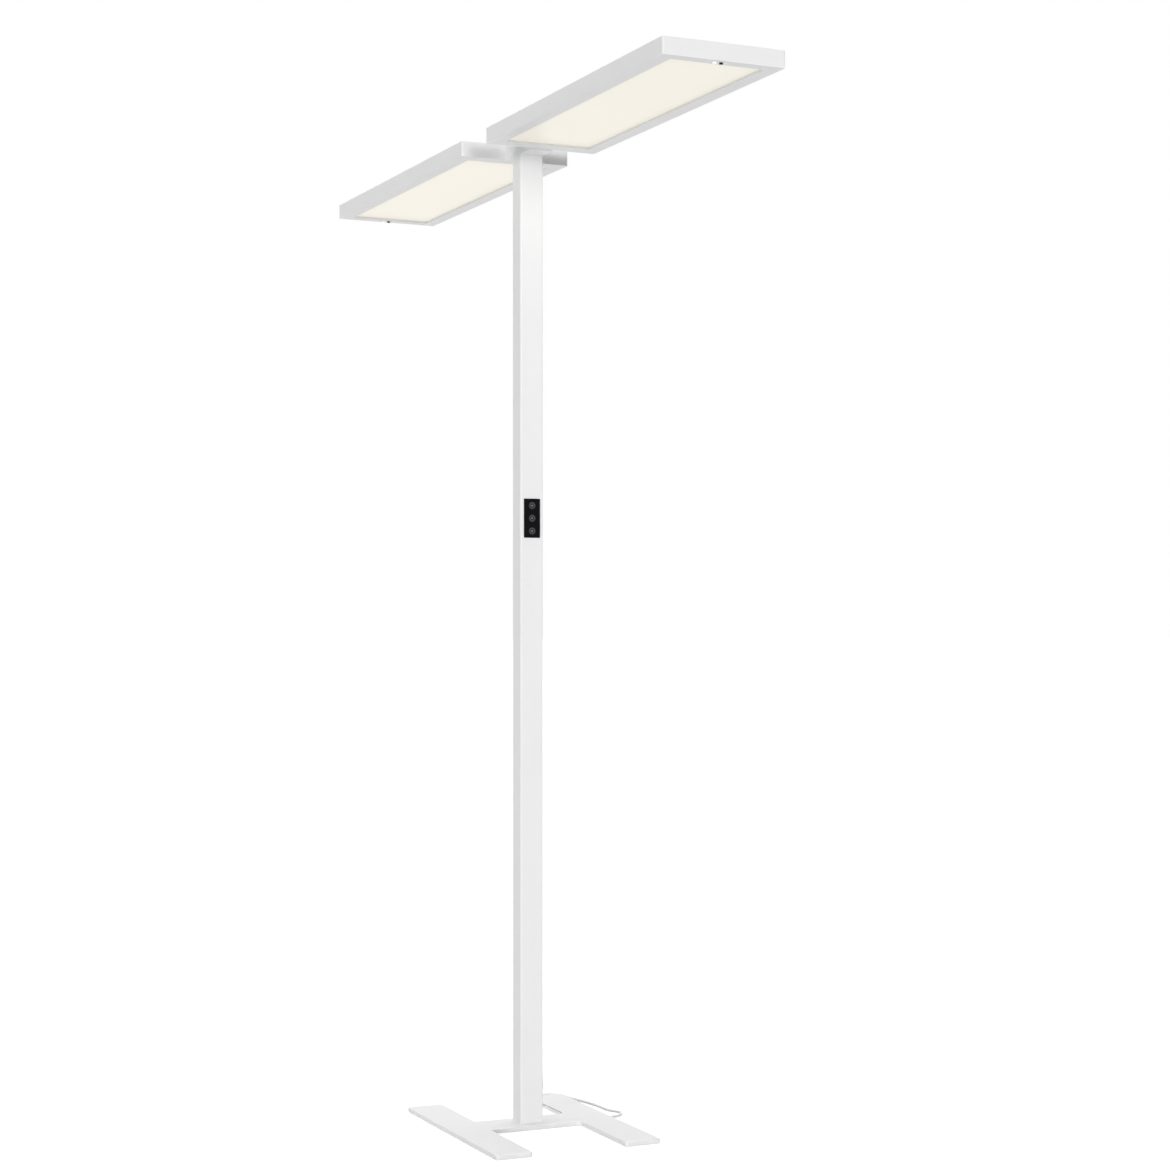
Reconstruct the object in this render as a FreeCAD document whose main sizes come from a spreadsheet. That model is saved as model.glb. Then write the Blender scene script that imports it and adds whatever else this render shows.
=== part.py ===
import FreeCAD, Part
import math
import os
import re
import Sketcher
from FreeCAD import Rotation, Vector

# Office floor lamp: an H-shaped base plate, a rectangular column with a keypad, and an arm that carries
# two flat heads in line. The origin is on the floor under the column's axis. +Z is up, the feet and the
# heads run along Y, the crossbar runs along X, and the keypad faces -Y. All sizes are in millimetres.

DRIVING = {
    "overall_height": 1950,
    # base
    "plate_thickness": 8,
    "foot_length": 470,
    "foot_width": 74,
    "foot_gap": 192,
    "crossbar_width": 80,
    "base_advance": 12,
    "outer_corner": 4,
    "inner_corner": 10,
    "plate_chamfer": 0.6,
    "relief_depth": 5.6,
    "relief_inner_front": 60,
    "relief_inner_rear": 210,
    "relief_outer_front": -14,
    "relief_outer_rear": 36,
    "pad_thickness": 1.6,
    "pad_radius": 10,
    "pad_inset": 24,
    # column and the spigot that stands in its foot
    "column_width": 48,
    "column_depth": 40,
    "column_wall": 2,
    "column_corner": 2,
    "spigot_height": 90,
    "spigot_wall": 4,
    "spigot_floor": 6,
    "spigot_fit": 0.3,
    "base_screw_radius": 3,
    "base_screw_length": 13,
    "base_screw_x": 13,
    "base_screw_y": 9,
    "side_screw_radius": 2.5,
    "side_screw_low": 50,
    "side_screw_pitch": 30,
    "side_screw_end": 2,
    "button_radius": 4.6,
    "button_height": 2.4,
    "screw_clearance": 0.3,
    "thread_fit": 0.05,
    "screw_recess": 0.1,
    "overrun": 1,
    # strain relief
    "relief_height": 24,
    "barrel_radius": 6,
    "collar_radius": 8,
    "collar_thickness": 2.5,
    "boot_length": 24,
    "boot_tip_radius": 4.2,
    "boot_rib_count": 4,
    "boot_rib_depth": 0.8,
    "boot_end": 2,
    "barrel_clearance": 1,
    "barrel_end": 1,
    "nut_thickness": 3,
    "nut_radius": 8,
    # keypad
    "keypad_width": 34,
    "keypad_height": 77,
    "keypad_centre": 1201,
    "keypad_corner": 1.5,
    "fascia_thickness": 1,
    "housing_flange": 0.6,
    "housing_lip": 2,
    "housing_depth": 14,
    "housing_wall": 1.5,
    "cutout_fit": 0.3,
    "post_radius": 2,
    "post_inset_x": 3,
    "post_inset_z": 4,
    "key_radius": 8,
    "key_pitch": 25,
    "key_gap": 0.3,
    "key_proud": 0.3,
    "key_edge": 0.3,
    "key_skirt": 1.2,
    "skirt_thickness": 0.8,
    "skirt_gap": 0.1,
    "key_travel": 0.8,
    "stem_radius": 2,
    "stem_length": 0.55,
    "stem_gap": 0.05,
    "board_thickness": 1.6,
    "board_fit": 0.3,
    "switch_width": 6,
    "switch_height": 3.5,
    "plunger_radius": 1.6,
    "plunger_height": 0.8,
    # driver and inner leads
    "driver_bottom": 300,
    "driver_height": 260,
    "driver_width": 30,
    "driver_depth": 22,
    "bracket_thickness": 1.5,
    "bracket_reach": 22,
    "inner_lead_radius": 2.5,
    "supply_dip": 8,
    "supply_bend": 15,
    "supply_sweep": 60,
    # arm
    "arm_drop": 5.5,
    "arm_height": 27.5,
    "arm_wall": 3,
    "arm_end": 8,
    "arm_spigot_height": 60,
    "arm_bolt_radius": 3,
    "arm_bolt_x": 12,
    "arm_bolt_length": 18,
    "thread_runout": 1,
    "lead_hole_radius": 4,
    "terminal_width": 10,
    "terminal_length": 24,
    "terminal_height": 12,
    # heads
    "head_length": 758,
    "head_width": 230,
    "head_thickness": 30,
    "head_gap": 126,
    "head_corner": 2.5,
    "frame_wall": 4,
    "frame_flange": 4,
    "side_rim": 27,
    "outer_rim": 26,
    "inner_rim": 34,
    "cover_thickness": 1.5,
    "cover_ledge": 2.5,
    "cover_fit": 0.2,
    "cover_hole_fit": 0.1,
    "corner_block": 16,
    "cover_screw_radius": 1.5,
    "cover_screw_length": 9,
    "diffuser_thickness": 2,
    "diffuser_fit": 0.5,
    "reflector_thickness": 1,
    "reflector_overlap": 6,
    "reflector_end": 2,
    "reflector_height": 19,
    "strip_count": 4,
    "strip_width": 12,
    "strip_thickness": 1.6,
    "strip_end": 12,
    "sensor_width": 44,
    "sensor_depth": 13,
    "sensor_height": 8,
    "sensor_fit": 0.1,
    "sensor_proud": 3,
    "sensor_lens_radius": 4,
    "sensor_lens_x": 12.5,
    "lens_crown_radius": 3,
    "lens_crown_height": 0.5,
    "sensor_window_radius": 3.2,
    "pilot_radius": 1.4,
    "pilot_x": 8.5,
    "pilot_proud": 0.6,
    "arm_plate_width": 84,
    "arm_plate_height": 14,
    "arm_plate_thickness": 4,
    "arm_plate_rise": 0.2,
    "arm_screw_radius": 2.5,
    "arm_screw_x": 15,
    "arm_screw_length": 14,
    # mains lead
    "lead_radius": 2.8,
    "hank_outer": 29.4,
    "hank_step": 6.3,
    "hank_run_count": 5,
    "hank_run": 110,
    "hank_waist": 5,
    "hank_rise": 1,
    "tie_width": 12,
    "tie_thickness": 0.8,
    "tie_fit": 0.2,
    # plug
    "plug_radius": 18.5,
    "plug_face": 12,
    "plug_grip": 26,
    "plug_grip_radius": 12,
    "plug_boot": 26,
    "plug_boot_wall": 1.4,
    "plug_boot_flare": 2,
    "plug_shoulder": 4,
    "plug_neck": 8,
    "plug_edge": 1,
    "pin_radius": 2.4,
    "pin_pitch": 19,
    "pin_length": 19,
}

doc = FreeCAD.newDocument("OfficeFloorLamp")
sheet = doc.addObject("Spreadsheet::Sheet", "Sizes")
for row, (alias, value) in enumerate(DRIVING.items(), start=1):
    sheet.set(f"A{row}", alias.replace("_", " "))
    sheet.set(f"B{row}", str(value))
    sheet.setAlias(f"B{row}", alias)
doc.recompute()

D = dict(DRIVING)
NODES = []

# Places that several pieces share, as expressions of the driving sizes.
PLATE_TOP = "(pad_thickness + plate_thickness)"
HEAD_BOTTOM = "(overall_height - head_thickness)"
ARM_TOP = "(overall_height - arm_drop)"
ARM_BOTTOM = f"({ARM_TOP} - arm_height)"
COLUMN_FRONT = "(-column_depth / 2)"
COLUMN_REAR = "(column_depth / 2)"
INSIDE_REAR = "(column_depth / 2 - column_wall)"
FOOT_FRONT = "(-base_advance - foot_length / 2)"
FOOT_REAR = "(-base_advance + foot_length / 2)"
FOOT_INSIDE = "(foot_gap / 2)"
FOOT_OUTSIDE = "(foot_gap / 2 + foot_width)"
SPIGOT_X = "(column_width / 2 - column_wall - spigot_fit)"
SPIGOT_Y = "(column_depth / 2 - column_wall - spigot_fit)"
FLANGE_TOP = f"({HEAD_BOTTOM} + frame_flange)"
DIFFUSER_TOP = f"({FLANGE_TOP} + diffuser_thickness)"
COVER_BOTTOM = "(overall_height - cover_thickness)"
INSIDE_X = "(head_width / 2 - frame_wall)"
HEAD_INNER = "(head_gap / 2)"
HEAD_OUTER = "(head_gap / 2 + head_length)"
SPIGOT_INSIDE = "(column_depth / 2 - column_wall - spigot_fit - spigot_wall)"

TO_REAR = Rotation(Vector(1, 0, 0), -90)
TO_FRONT = Rotation(Vector(1, 0, 0), 90)
DOWN = Rotation(Vector(1, 0, 0), 180)
UP = Rotation()


# ---------------------------------------------------------------- helpers
def formula(text):
    """The expression with each driving size read from the sheet."""
    return re.sub(r"[a-z][a-z_]+", lambda word: "Sizes." + word.group(), str(text))


def bind(thing, prop, text):
    thing.setExpression(prop, formula(text))


def place(thing, x="0", y="0", z="0", turned=UP):
    thing.Placement = FreeCAD.Placement(Vector(), turned)
    for axis, where in (("x", x), ("y", y), ("z", z)):
        bind(thing, f"Placement.Base.{axis}", where)
    return thing


def keep(thing, label):
    """The object is a sub-part of the lamp under this name."""
    thing.Label = label
    NODES.append(thing)
    return thing


def box(name, x, y, z):
    """A block between a low and a high place along each axis."""
    block = doc.addObject("Part::Box", name)
    for size, (low, high) in (("Length", x), ("Width", y), ("Height", z)):
        bind(block, size, f"({high}) - ({low})")
    return place(block, x[0], y[0], z[0])


def rod(name, radius, length, x, y, z, turned=UP):
    cylinder = doc.addObject("Part::Cylinder", name)
    bind(cylinder, "Radius", radius)
    bind(cylinder, "Height", length)
    return place(cylinder, x, y, z, turned)


def cone(name, low_radius, high_radius, length, x, y, z, turned=UP):
    taper = doc.addObject("Part::Cone", name)
    bind(taper, "Radius1", low_radius)
    bind(taper, "Radius2", high_radius)
    bind(taper, "Height", length)
    return place(taper, x, y, z, turned)


def fuse(name, *things):
    whole = doc.addObject("Part::MultiFuse", name)
    whole.Shapes = list(things)
    return whole


def group(name, things):
    whole = doc.addObject("Part::Compound", name)
    whole.Links = list(things)
    return whole


def cut(name, base, *tools):
    whole = doc.addObject("Part::Cut", name)
    whole.Base = base
    whole.Tool = tools[0] if len(tools) == 1 else fuse(name + "Tools", *tools)
    return whole


def new_body(name):
    return doc.addObject("PartDesign::Body", name)


def new_sketch(body, name, role="XY_Plane", offset="0"):
    """A sketch on one of the body's own planes, moved along the plane's normal."""
    sketch = body.newObject("Sketcher::SketchObject", name)
    plane = next(f for f in body.Origin.OriginFeatures if f.Role == role)
    sketch.AttachmentSupport = [(plane, "")]
    sketch.MapMode = "FlatFace"
    bind(sketch, "AttachmentOffset.Base.z", offset)
    return sketch


def pin(sketch, geometry, vertex, where):
    """The point is held at its two distances from the sketch's origin."""
    for kind, axis, distance in (("DistanceX", -2, where[0]), ("DistanceY", -1, where[1])):
        if distance == "0":
            sketch.addConstraint(Sketcher.Constraint("PointOnObject", geometry, vertex, axis))
        else:
            index = sketch.addConstraint(Sketcher.Constraint(kind, -1, 1, geometry, vertex, 1.0))
            bind(sketch, f"Constraints[{index}]", distance)


def outline(sketch, corners):
    """A closed outline of straight sides with its corners at the given places."""
    first, count = sketch.GeometryCount, len(corners)
    turn = 2 * math.pi / count
    start = [Vector(math.cos(turn * k), math.sin(turn * k), 0) for k in range(count)]
    for k in range(count):
        sketch.addGeometry(Part.LineSegment(start[k], start[(k + 1) % count]), False)
    for k in range(count):
        after = first + (k + 1) % count
        sketch.addConstraint(Sketcher.Constraint("Coincident", first + k, 2, after, 1))
    for k, corner in enumerate(corners):
        pin(sketch, first + k, 1, corner)


def rectangle(sketch, x, y):
    outline(sketch, [(x[0], y[0]), (x[1], y[0]), (x[1], y[1]), (x[0], y[1])])


def circle(sketch, x, y, radius):
    index = sketch.addGeometry(Part.Circle(Vector(1, 1, 0), Vector(0, 0, 1), 1), False)
    pin(sketch, index, 3, (x, y))
    bind(sketch, f"Constraints[{sketch.addConstraint(Sketcher.Constraint('Radius', index, 1.0))}]", radius)


def pad(body, sketch, length):
    feature = body.newObject("PartDesign::Pad", sketch.Name + "Pad")
    feature.Profile = sketch
    bind(feature, "Length", length)
    doc.recompute()
    return feature


def pocket(body, sketch, depth=None, upwards=False):
    """A pocket to a depth, or through everything; it has to take some material away."""
    before = body.Shape.Volume
    feature = body.newObject("PartDesign::Pocket", sketch.Name + "Pocket")
    feature.Profile = sketch
    feature.Reversed = upwards
    if depth is None:
        feature.Type = "ThroughAll"
    else:
        bind(feature, "Length", depth)
    doc.recompute()
    if body.Shape.Volume > before - 1e-3:
        raise RuntimeError(f"{feature.Name} takes nothing away")
    return feature


def edges_of(feature, wanted):
    """Names of the edges whose box passes the test."""
    return [f"Edge{k}" for k, edge in enumerate(feature.Shape.Edges, start=1) if wanted(edge.BoundBox)]


def dress(body, kind, feature, names, size):
    """A fillet or chamfer on the named edges."""
    finish = body.newObject(f"PartDesign::{kind}", f"{feature.Name}{kind}")
    finish.Base = (feature, names)
    bind(finish, "Radius" if kind == "Fillet" else "Size", size)
    doc.recompute()
    return finish


def near(a, b):
    return abs(a - b) < 1e-4


def upright(b):
    """The edge stands parallel to Z."""
    return b.XLength < 1e-4 and b.YLength < 1e-4 and b.ZLength > 1e-4


def turned_body(name, profile):
    """A body turned about its own Z axis from (radius, height) corners."""
    body = new_body(name)
    sketch = new_sketch(body, name + "Profile", "XZ_Plane")
    outline(sketch, profile)
    feature = body.newObject("PartDesign::Revolution", name + "Turned")
    feature.Profile = sketch
    feature.ReferenceAxis = (sketch, ["V_Axis"])
    feature.Angle = 360
    doc.recompute()
    return body


def button_screw(name, radius, length, x, y, z, turned):
    """A round-headed screw: its place is under the head, its shank points the turned way."""
    shank = rod(name + "Shank", radius, length, "0", "0", "0")
    head = rod(name + "Head", "button_radius", "button_height", "0", "0", "-button_height")
    return place(fuse(name, shank, head), x, y, z, turned)


def flat_screw(name, radius, length, x, y, z, turned):
    """A countersunk screw: its place is the flat of its head, its shank points the turned way."""
    head = cone(name + "Head", f"2 * ({radius})", radius, radius, "0", "0", "0")
    shank = rod(name + "Shank", radius, f"({length}) - ({radius})", "0", "0", radius)
    return place(fuse(name, head, shank), x, y, z, turned)


# ---------------------------------------------------------------- base
def make_base_plate():
    """One H-shaped plate. A relief under the right foot lets the mains lead pass to the outside."""
    body = new_body("BasePlate")
    sketch = new_sketch(body, "PlateOutline", offset="pad_thickness")
    bar = "crossbar_width / 2"
    right = [
        (FOOT_INSIDE, f"-{bar}"),
        (FOOT_INSIDE, FOOT_FRONT),
        (FOOT_OUTSIDE, FOOT_FRONT),
        (FOOT_OUTSIDE, FOOT_REAR),
        (FOOT_INSIDE, FOOT_REAR),
        (FOOT_INSIDE, bar),
    ]
    left = [(f"-{x}", y) for x, y in reversed(right)]
    outline(sketch, right + left)
    plate = pad(body, sketch, "plate_thickness")
    bar_y = D["crossbar_width"] / 2
    inner = edges_of(plate, lambda b: upright(b) and near(abs(b.YMin), bar_y))
    plate = dress(body, "Fillet", plate, inner, "inner_corner")
    tip = [-D["base_advance"] - D["foot_length"] / 2, -D["base_advance"] + D["foot_length"] / 2]
    outer = edges_of(plate, lambda b: upright(b) and (near(b.YMin, tip[0]) or near(b.YMin, tip[1])))
    plate = dress(body, "Fillet", plate, outer, "outer_corner")
    top = D["pad_thickness"] + D["plate_thickness"]
    rim = edges_of(plate, lambda b: near(b.ZMin, top) and near(b.ZMax, top))
    dress(body, "Chamfer", plate, rim, "plate_chamfer")
    relief = new_sketch(body, "LeadRelief", offset="pad_thickness")
    outline(relief, [
        (f"{FOOT_INSIDE} - overrun", "relief_inner_front"),
        (f"{FOOT_OUTSIDE} + overrun", "relief_outer_front"),
        (f"{FOOT_OUTSIDE} + overrun", "relief_outer_rear"),
        (f"{FOOT_INSIDE} - overrun", "relief_inner_rear"),
    ])
    pocket(body, relief, "relief_depth", upwards=True)
    holes = new_sketch(body, "ScrewHoles", offset="pad_thickness")
    for x, y in base_screw_places():
        circle(holes, x, y, "base_screw_radius + screw_clearance")
    drilled = pocket(body, holes, upwards=True)
    bore = 2 * (D["base_screw_radius"] + D["screw_clearance"])
    mouths = edges_of(
        drilled,
        lambda b: near(b.ZMax, D["pad_thickness"]) and near(b.XLength, bore) and near(b.YLength, bore),
    )
    dress(body, "Chamfer", drilled, mouths, "base_screw_radius")
    keep(body, "base_plate")


def base_screw_places():
    return [(f"{i}base_screw_x", f"{j}base_screw_y") for i in ("", "-") for j in ("", "-")]


def make_base_hardware():
    across = "(foot_gap / 2 + foot_width / 2)"
    rows = [f"({FOOT_FRONT} + pad_inset)", f"({FOOT_REAR} - pad_inset)"]
    pads = [
        rod(f"Pad{i}{j}", "pad_radius", "pad_thickness", f"{side}{across}", row, "0")
        for i, side in enumerate(("", "-"))
        for j, row in enumerate(rows)
    ]
    pads += [
        rod(f"PadBar{i}", "pad_radius", "pad_thickness", f"{side}foot_gap / 4", "0", "0")
        for i, side in enumerate(("", "-"))
    ]
    keep(group("FootPads", pads), "foot_pads")
    head_z = "pad_thickness + screw_recess"
    screws = [
        flat_screw(f"BaseScrew{k}", "base_screw_radius", "base_screw_length", x, y, head_z, UP)
        for k, (x, y) in enumerate(base_screw_places())
    ]
    keep(group("BaseScrews", screws), "base_screws")


# ---------------------------------------------------------------- column
def make_column():
    body = new_body("Column")
    sketch = new_sketch(body, "ColumnSection", offset=PLATE_TOP)
    half_x, half_y = "column_width / 2", "column_depth / 2"
    rectangle(sketch, (f"-{half_x}", half_x), (f"-{half_y}", half_y))
    rectangle(
        sketch,
        (f"-({half_x} - column_wall)", f"{half_x} - column_wall"),
        (f"-({half_y} - column_wall)", f"{half_y} - column_wall"),
    )
    tube = pad(body, sketch, f"{ARM_BOTTOM} - {PLATE_TOP}")
    corners = edges_of(tube, lambda b: upright(b) and near(abs(b.XMin), D["column_width"] / 2))
    dress(body, "Fillet", tube, corners, "column_corner")
    # the sketches on the XZ plane face the front, so a cut towards the rear starts at the axis
    window = new_sketch(body, "KeypadWindow", "XZ_Plane")
    window_x = "(keypad_width / 2 - housing_lip + cutout_fit)"
    window_z = "(keypad_height / 2 - housing_lip + cutout_fit)"
    rectangle(
        window,
        (f"-{window_x}", window_x),
        (f"keypad_centre - {window_z}", f"keypad_centre + {window_z}"),
    )
    pocket(body, window, upwards=True)
    rear = new_sketch(body, "RearHoles", "XZ_Plane")
    circle(rear, "0", "relief_height", "barrel_radius + screw_clearance")
    for z in side_screw_heights() + bracket_screw_heights():
        circle(rear, "0", z, "side_screw_radius + screw_clearance")
    pocket(body, rear)
    keep(body, "column")


def side_screw_heights():
    return ["side_screw_low", "side_screw_low + side_screw_pitch"]


def bracket_screw_heights():
    middle = "bracket_reach / 2"
    return [f"driver_bottom - {middle}", f"driver_bottom + driver_height + {middle}"]


def make_column_spigot():
    """The socket block that stands inside the column's foot and is screwed to the plate from below."""
    body = new_body("ColumnSpigot")
    block = new_sketch(body, "SpigotSection", offset=PLATE_TOP)
    rectangle(block, (f"-{SPIGOT_X}", SPIGOT_X), (f"-{SPIGOT_Y}", SPIGOT_Y))
    pad(body, block, "spigot_height")
    hollow = new_sketch(body, "SpigotHollow", offset=f"{PLATE_TOP} + spigot_height")
    inside_x, inside_y = f"({SPIGOT_X} - spigot_wall)", f"({SPIGOT_Y} - spigot_wall)"
    rectangle(hollow, (f"-{inside_x}", inside_x), (f"-{inside_y}", inside_y))
    pocket(body, hollow, "spigot_height - spigot_floor")
    threads = new_sketch(body, "SpigotThreads", offset=PLATE_TOP)
    for x, y in base_screw_places():
        circle(threads, x, y, "base_screw_radius + thread_fit")
    pocket(body, threads, "spigot_floor", upwards=True)
    rear = new_sketch(body, "SpigotRear", "XZ_Plane")
    circle(rear, "0", "relief_height", "barrel_radius + barrel_clearance")
    for z in side_screw_heights():
        circle(rear, "0", z, "side_screw_radius + thread_fit")
    pocket(body, rear)
    keep(body, "column_spigot")


def make_column_screws():
    """Button screws through the rear wall, into the spigot and into the driver's bracket."""
    for name, label, held, heights in (
        ("SpigotScrew", "spigot_screws", "spigot_wall", side_screw_heights()),
        ("BracketScrew", "bracket_screws", "bracket_thickness", bracket_screw_heights()),
    ):
        length = f"column_wall + {held} + side_screw_end"
        screws = [
            button_screw(f"{name}{k}", "side_screw_radius", length, "0", COLUMN_REAR, z, TO_FRONT)
            for k, z in enumerate(heights)
        ]
        keep(group(name + "s", screws), label)


def make_strain_relief():
    """A barrel through the column's rear wall, a collar outside, a ribbed boot, and a nut inside the spigot."""
    collar = "collar_thickness"
    inner_end = f"({COLUMN_REAR} - {SPIGOT_INSIDE} + nut_thickness + barrel_end)"
    profile = [("0", f"-{inner_end}"), ("barrel_radius", f"-{inner_end}")]
    profile += [("barrel_radius", "0"), ("collar_radius", "0"), ("collar_radius", collar)]
    ribs = D["boot_rib_count"]
    for k in range(ribs):
        crest = f"(barrel_radius - (barrel_radius - boot_tip_radius) * {k} / {ribs})"
        groove = f"{crest} - boot_rib_depth"
        start, middle, end = (f"{collar} + boot_length * {share} / {ribs}" for share in (k, k + 0.6, k + 1))
        profile += [(crest, start), (crest, middle), (groove, middle), (groove, end)]
    tip = f"({collar} + boot_length + boot_end)"
    profile += [("boot_tip_radius", f"{collar} + boot_length"), ("boot_tip_radius", tip), ("0", tip)]
    body = turned_body("StrainRelief", profile)
    place(body, "0", COLUMN_REAR, "relief_height", TO_REAR)
    keep(body, "strain_relief")
    blank = doc.addObject("Part::Prism", "ReliefNutBlank")
    blank.Polygon = 6
    bind(blank, "Circumradius", "nut_radius")
    bind(blank, "Height", "nut_thickness")
    place(blank, "0", SPIGOT_INSIDE, "relief_height", TO_FRONT)
    bore = rod(
        "ReliefNutBore",
        "barrel_radius + thread_fit",
        "nut_thickness + 2 * overrun",
        "0",
        f"{SPIGOT_INSIDE} + overrun",
        "relief_height",
        TO_FRONT,
    )
    keep(cut("ReliefNut", blank, bore), "relief_nut")


# ---------------------------------------------------------------- keypad
HOUSING_FRONT = f"({COLUMN_FRONT} - housing_flange)"
FASCIA_FRONT = f"({HOUSING_FRONT} - fascia_thickness)"
HOUSING_REAR = f"({COLUMN_FRONT} + housing_depth)"
BOARD_FRONT = (
    f"({HOUSING_FRONT} + skirt_gap + skirt_thickness + stem_length + stem_gap + key_travel"
    " + plunger_height + switch_height)"
)
KEY_HEIGHTS = {
    "key_upper": "keypad_centre + key_pitch",
    "key_middle": "keypad_centre",
    "key_lower": "keypad_centre - key_pitch",
}


def make_keypad_housing():
    """A moulded tray behind the keys, with a flange that lies on the column's face."""
    x, z = "(keypad_width / 2)", "(keypad_height / 2)"
    tray_x, tray_z = "(keypad_width / 2 - housing_lip)", "(keypad_height / 2 - housing_lip)"
    centre = "keypad_centre"
    flange = box(
        "HousingFlange",
        (f"-{x}", x),
        (HOUSING_FRONT, COLUMN_FRONT),
        (f"{centre} - {z}", f"{centre} + {z}"),
    )
    tray = box(
        "HousingTray",
        (f"-{tray_x}", tray_x),
        (HOUSING_FRONT, HOUSING_REAR),
        (f"{centre} - {tray_z}", f"{centre} + {tray_z}"),
    )
    hollow = box(
        "HousingHollow",
        (f"-({tray_x} - housing_wall)", f"{tray_x} - housing_wall"),
        (f"{HOUSING_FRONT} - overrun", f"{HOUSING_REAR} - housing_wall"),
        (f"{centre} - ({tray_z} - housing_wall)", f"{centre} + ({tray_z} - housing_wall)"),
    )
    shell = cut("HousingShell", fuse("HousingSolid", flange, tray), hollow)
    posts = [
        rod(
            f"HousingPost{i}{j}",
            "post_radius",
            f"{HOUSING_REAR} - housing_wall - {BOARD_FRONT} - board_thickness",
            f"{i}({tray_x} - housing_wall - post_inset_x)",
            f"{HOUSING_REAR} - housing_wall",
            f"{centre} {j} ({tray_z} - housing_wall - post_inset_z)",
            TO_FRONT,
        )
        for i in ("", "-")
        for j in ("+", "-")
    ]
    keep(fuse("KeypadHousing", shell, *posts), "keypad_housing")


def make_keypad_fascia():
    body = new_body("KeypadFascia")
    sketch = new_sketch(body, "FasciaOutline", "XZ_Plane", f"-({HOUSING_FRONT})")
    x, z = "(keypad_width / 2)", "(keypad_height / 2)"
    rectangle(sketch, (f"-{x}", x), (f"keypad_centre - {z}", f"keypad_centre + {z}"))
    plate = pad(body, sketch, "fascia_thickness")
    corners = edges_of(plate, lambda b: b.XLength < 1e-4 and b.ZLength < 1e-4)
    dress(body, "Fillet", plate, corners, "keypad_corner")
    holes = new_sketch(body, "FasciaHoles", "XZ_Plane", f"-({HOUSING_FRONT})")
    for z in KEY_HEIGHTS.values():
        circle(holes, "0", z, "key_radius + key_gap")
    pocket(body, holes, upwards=True)
    keep(body, "keypad_fascia")


def make_keys():
    """Each key: a disc in the fascia, a skirt behind it that holds it in, and a short stem."""
    skirt = "key_radius + key_skirt"
    back = "(skirt_gap + skirt_thickness)"
    face = "(fascia_thickness + key_proud)"
    profile = [
        ("0", f"-{back} - stem_length"),
        ("stem_radius", f"-{back} - stem_length"),
        ("stem_radius", f"-{back}"),
        (skirt, f"-{back}"),
        (skirt, "-skirt_gap"),
        ("key_radius", "-skirt_gap"),
        ("key_radius", f"{face} - key_edge"),
        ("key_radius - key_edge", face),
        ("0", face),
    ]
    for label, height in KEY_HEIGHTS.items():
        body = turned_body(label.title().replace("_", ""), profile)
        place(body, "0", HOUSING_FRONT, height, TO_FRONT)
        keep(body, label)


def make_keypad_board():
    board_x = "(keypad_width / 2 - housing_lip - housing_wall - board_fit)"
    board_z = "(keypad_height / 2 - housing_lip - housing_wall - board_fit)"
    board = box(
        "KeypadBoard",
        (f"-{board_x}", board_x),
        (BOARD_FRONT, f"{BOARD_FRONT} + board_thickness"),
        (f"keypad_centre - {board_z}", f"keypad_centre + {board_z}"),
    )
    keep(board, "keypad_board")
    half = "switch_width / 2"
    case_front = f"{BOARD_FRONT} - switch_height"
    switches = [
        fuse(
            f"Switch{k}",
            box(
                f"SwitchCase{k}",
                (f"-{half}", half),
                (case_front, BOARD_FRONT),
                (f"{z} - {half}", f"{z} + {half}"),
            ),
            rod(f"Plunger{k}", "plunger_radius", "plunger_height", "0", case_front, z, TO_FRONT),
        )
        for k, z in enumerate(KEY_HEIGHTS.values())
    ]
    keep(group("KeypadSwitches", switches), "keypad_switches")


# ---------------------------------------------------------------- driver and inner leads
DRIVER_REAR = f"({INSIDE_REAR} - bracket_thickness)"
DRIVER_TOP = "(driver_bottom + driver_height)"
LEAD_Y = f"({DRIVER_REAR} - driver_depth / 2)"


def make_driver():
    half = "driver_width / 2"
    case_y = (f"{DRIVER_REAR} - driver_depth", DRIVER_REAR)
    keep(box("DriverCase", (f"-{half}", half), case_y, ("driver_bottom", DRIVER_TOP)), "led_driver")
    plate = box(
        "BracketPlate",
        (f"-{half}", half),
        (DRIVER_REAR, INSIDE_REAR),
        ("driver_bottom - bracket_reach", f"{DRIVER_TOP} + bracket_reach"),
    )
    bore, length = "side_screw_radius + thread_fit", "bracket_thickness + 2 * overrun"
    holes = [
        rod(f"BracketHole{k}", bore, length, "0", f"{INSIDE_REAR} + overrun", z, TO_FRONT)
        for k, z in enumerate(bracket_screw_heights())
    ]
    keep(cut("DriverBracket", plate, *holes), "driver_bracket")


def make_inner_leads():
    """Leads that the column holds all the way: up from the strain relief's barrel, and on from the driver."""
    inside_rear = D["column_depth"] / 2 - D["column_wall"]
    barrel_end = inside_rear - D["spigot_fit"] - D["spigot_wall"] - D["nut_thickness"] - D["barrel_end"]
    lead_y = inside_rear - D["bracket_thickness"] - D["driver_depth"] / 2
    low, high = D["relief_height"], D["driver_bottom"]
    route = [
        Vector(0, barrel_end, low),
        Vector(0, -D["supply_dip"], low),
        Vector(0, -D["supply_dip"], low + D["supply_sweep"]),
        Vector(0, lead_y, (low + high) / 2),
        Vector(0, lead_y, high),
    ]
    radii = [D["supply_bend"], D["supply_sweep"], D["supply_sweep"]]
    supply = doc.addObject("Part::Feature", "SupplyLead")
    supply.Shape = tube_along(rounded_path(route, radii), D["inner_lead_radius"])
    keep(supply, "supply_lead")
    length = f"{ARM_BOTTOM} + arm_wall - {DRIVER_TOP}"
    keep(rod("OutputLead", "inner_lead_radius", length, "0", LEAD_Y, DRIVER_TOP), "output_lead")


# ---------------------------------------------------------------- arm
def arm_screw_places():
    return [(f"{side}arm_screw_x", f"{ARM_BOTTOM} + arm_height / 2") for side in ("", "-")]


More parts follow.
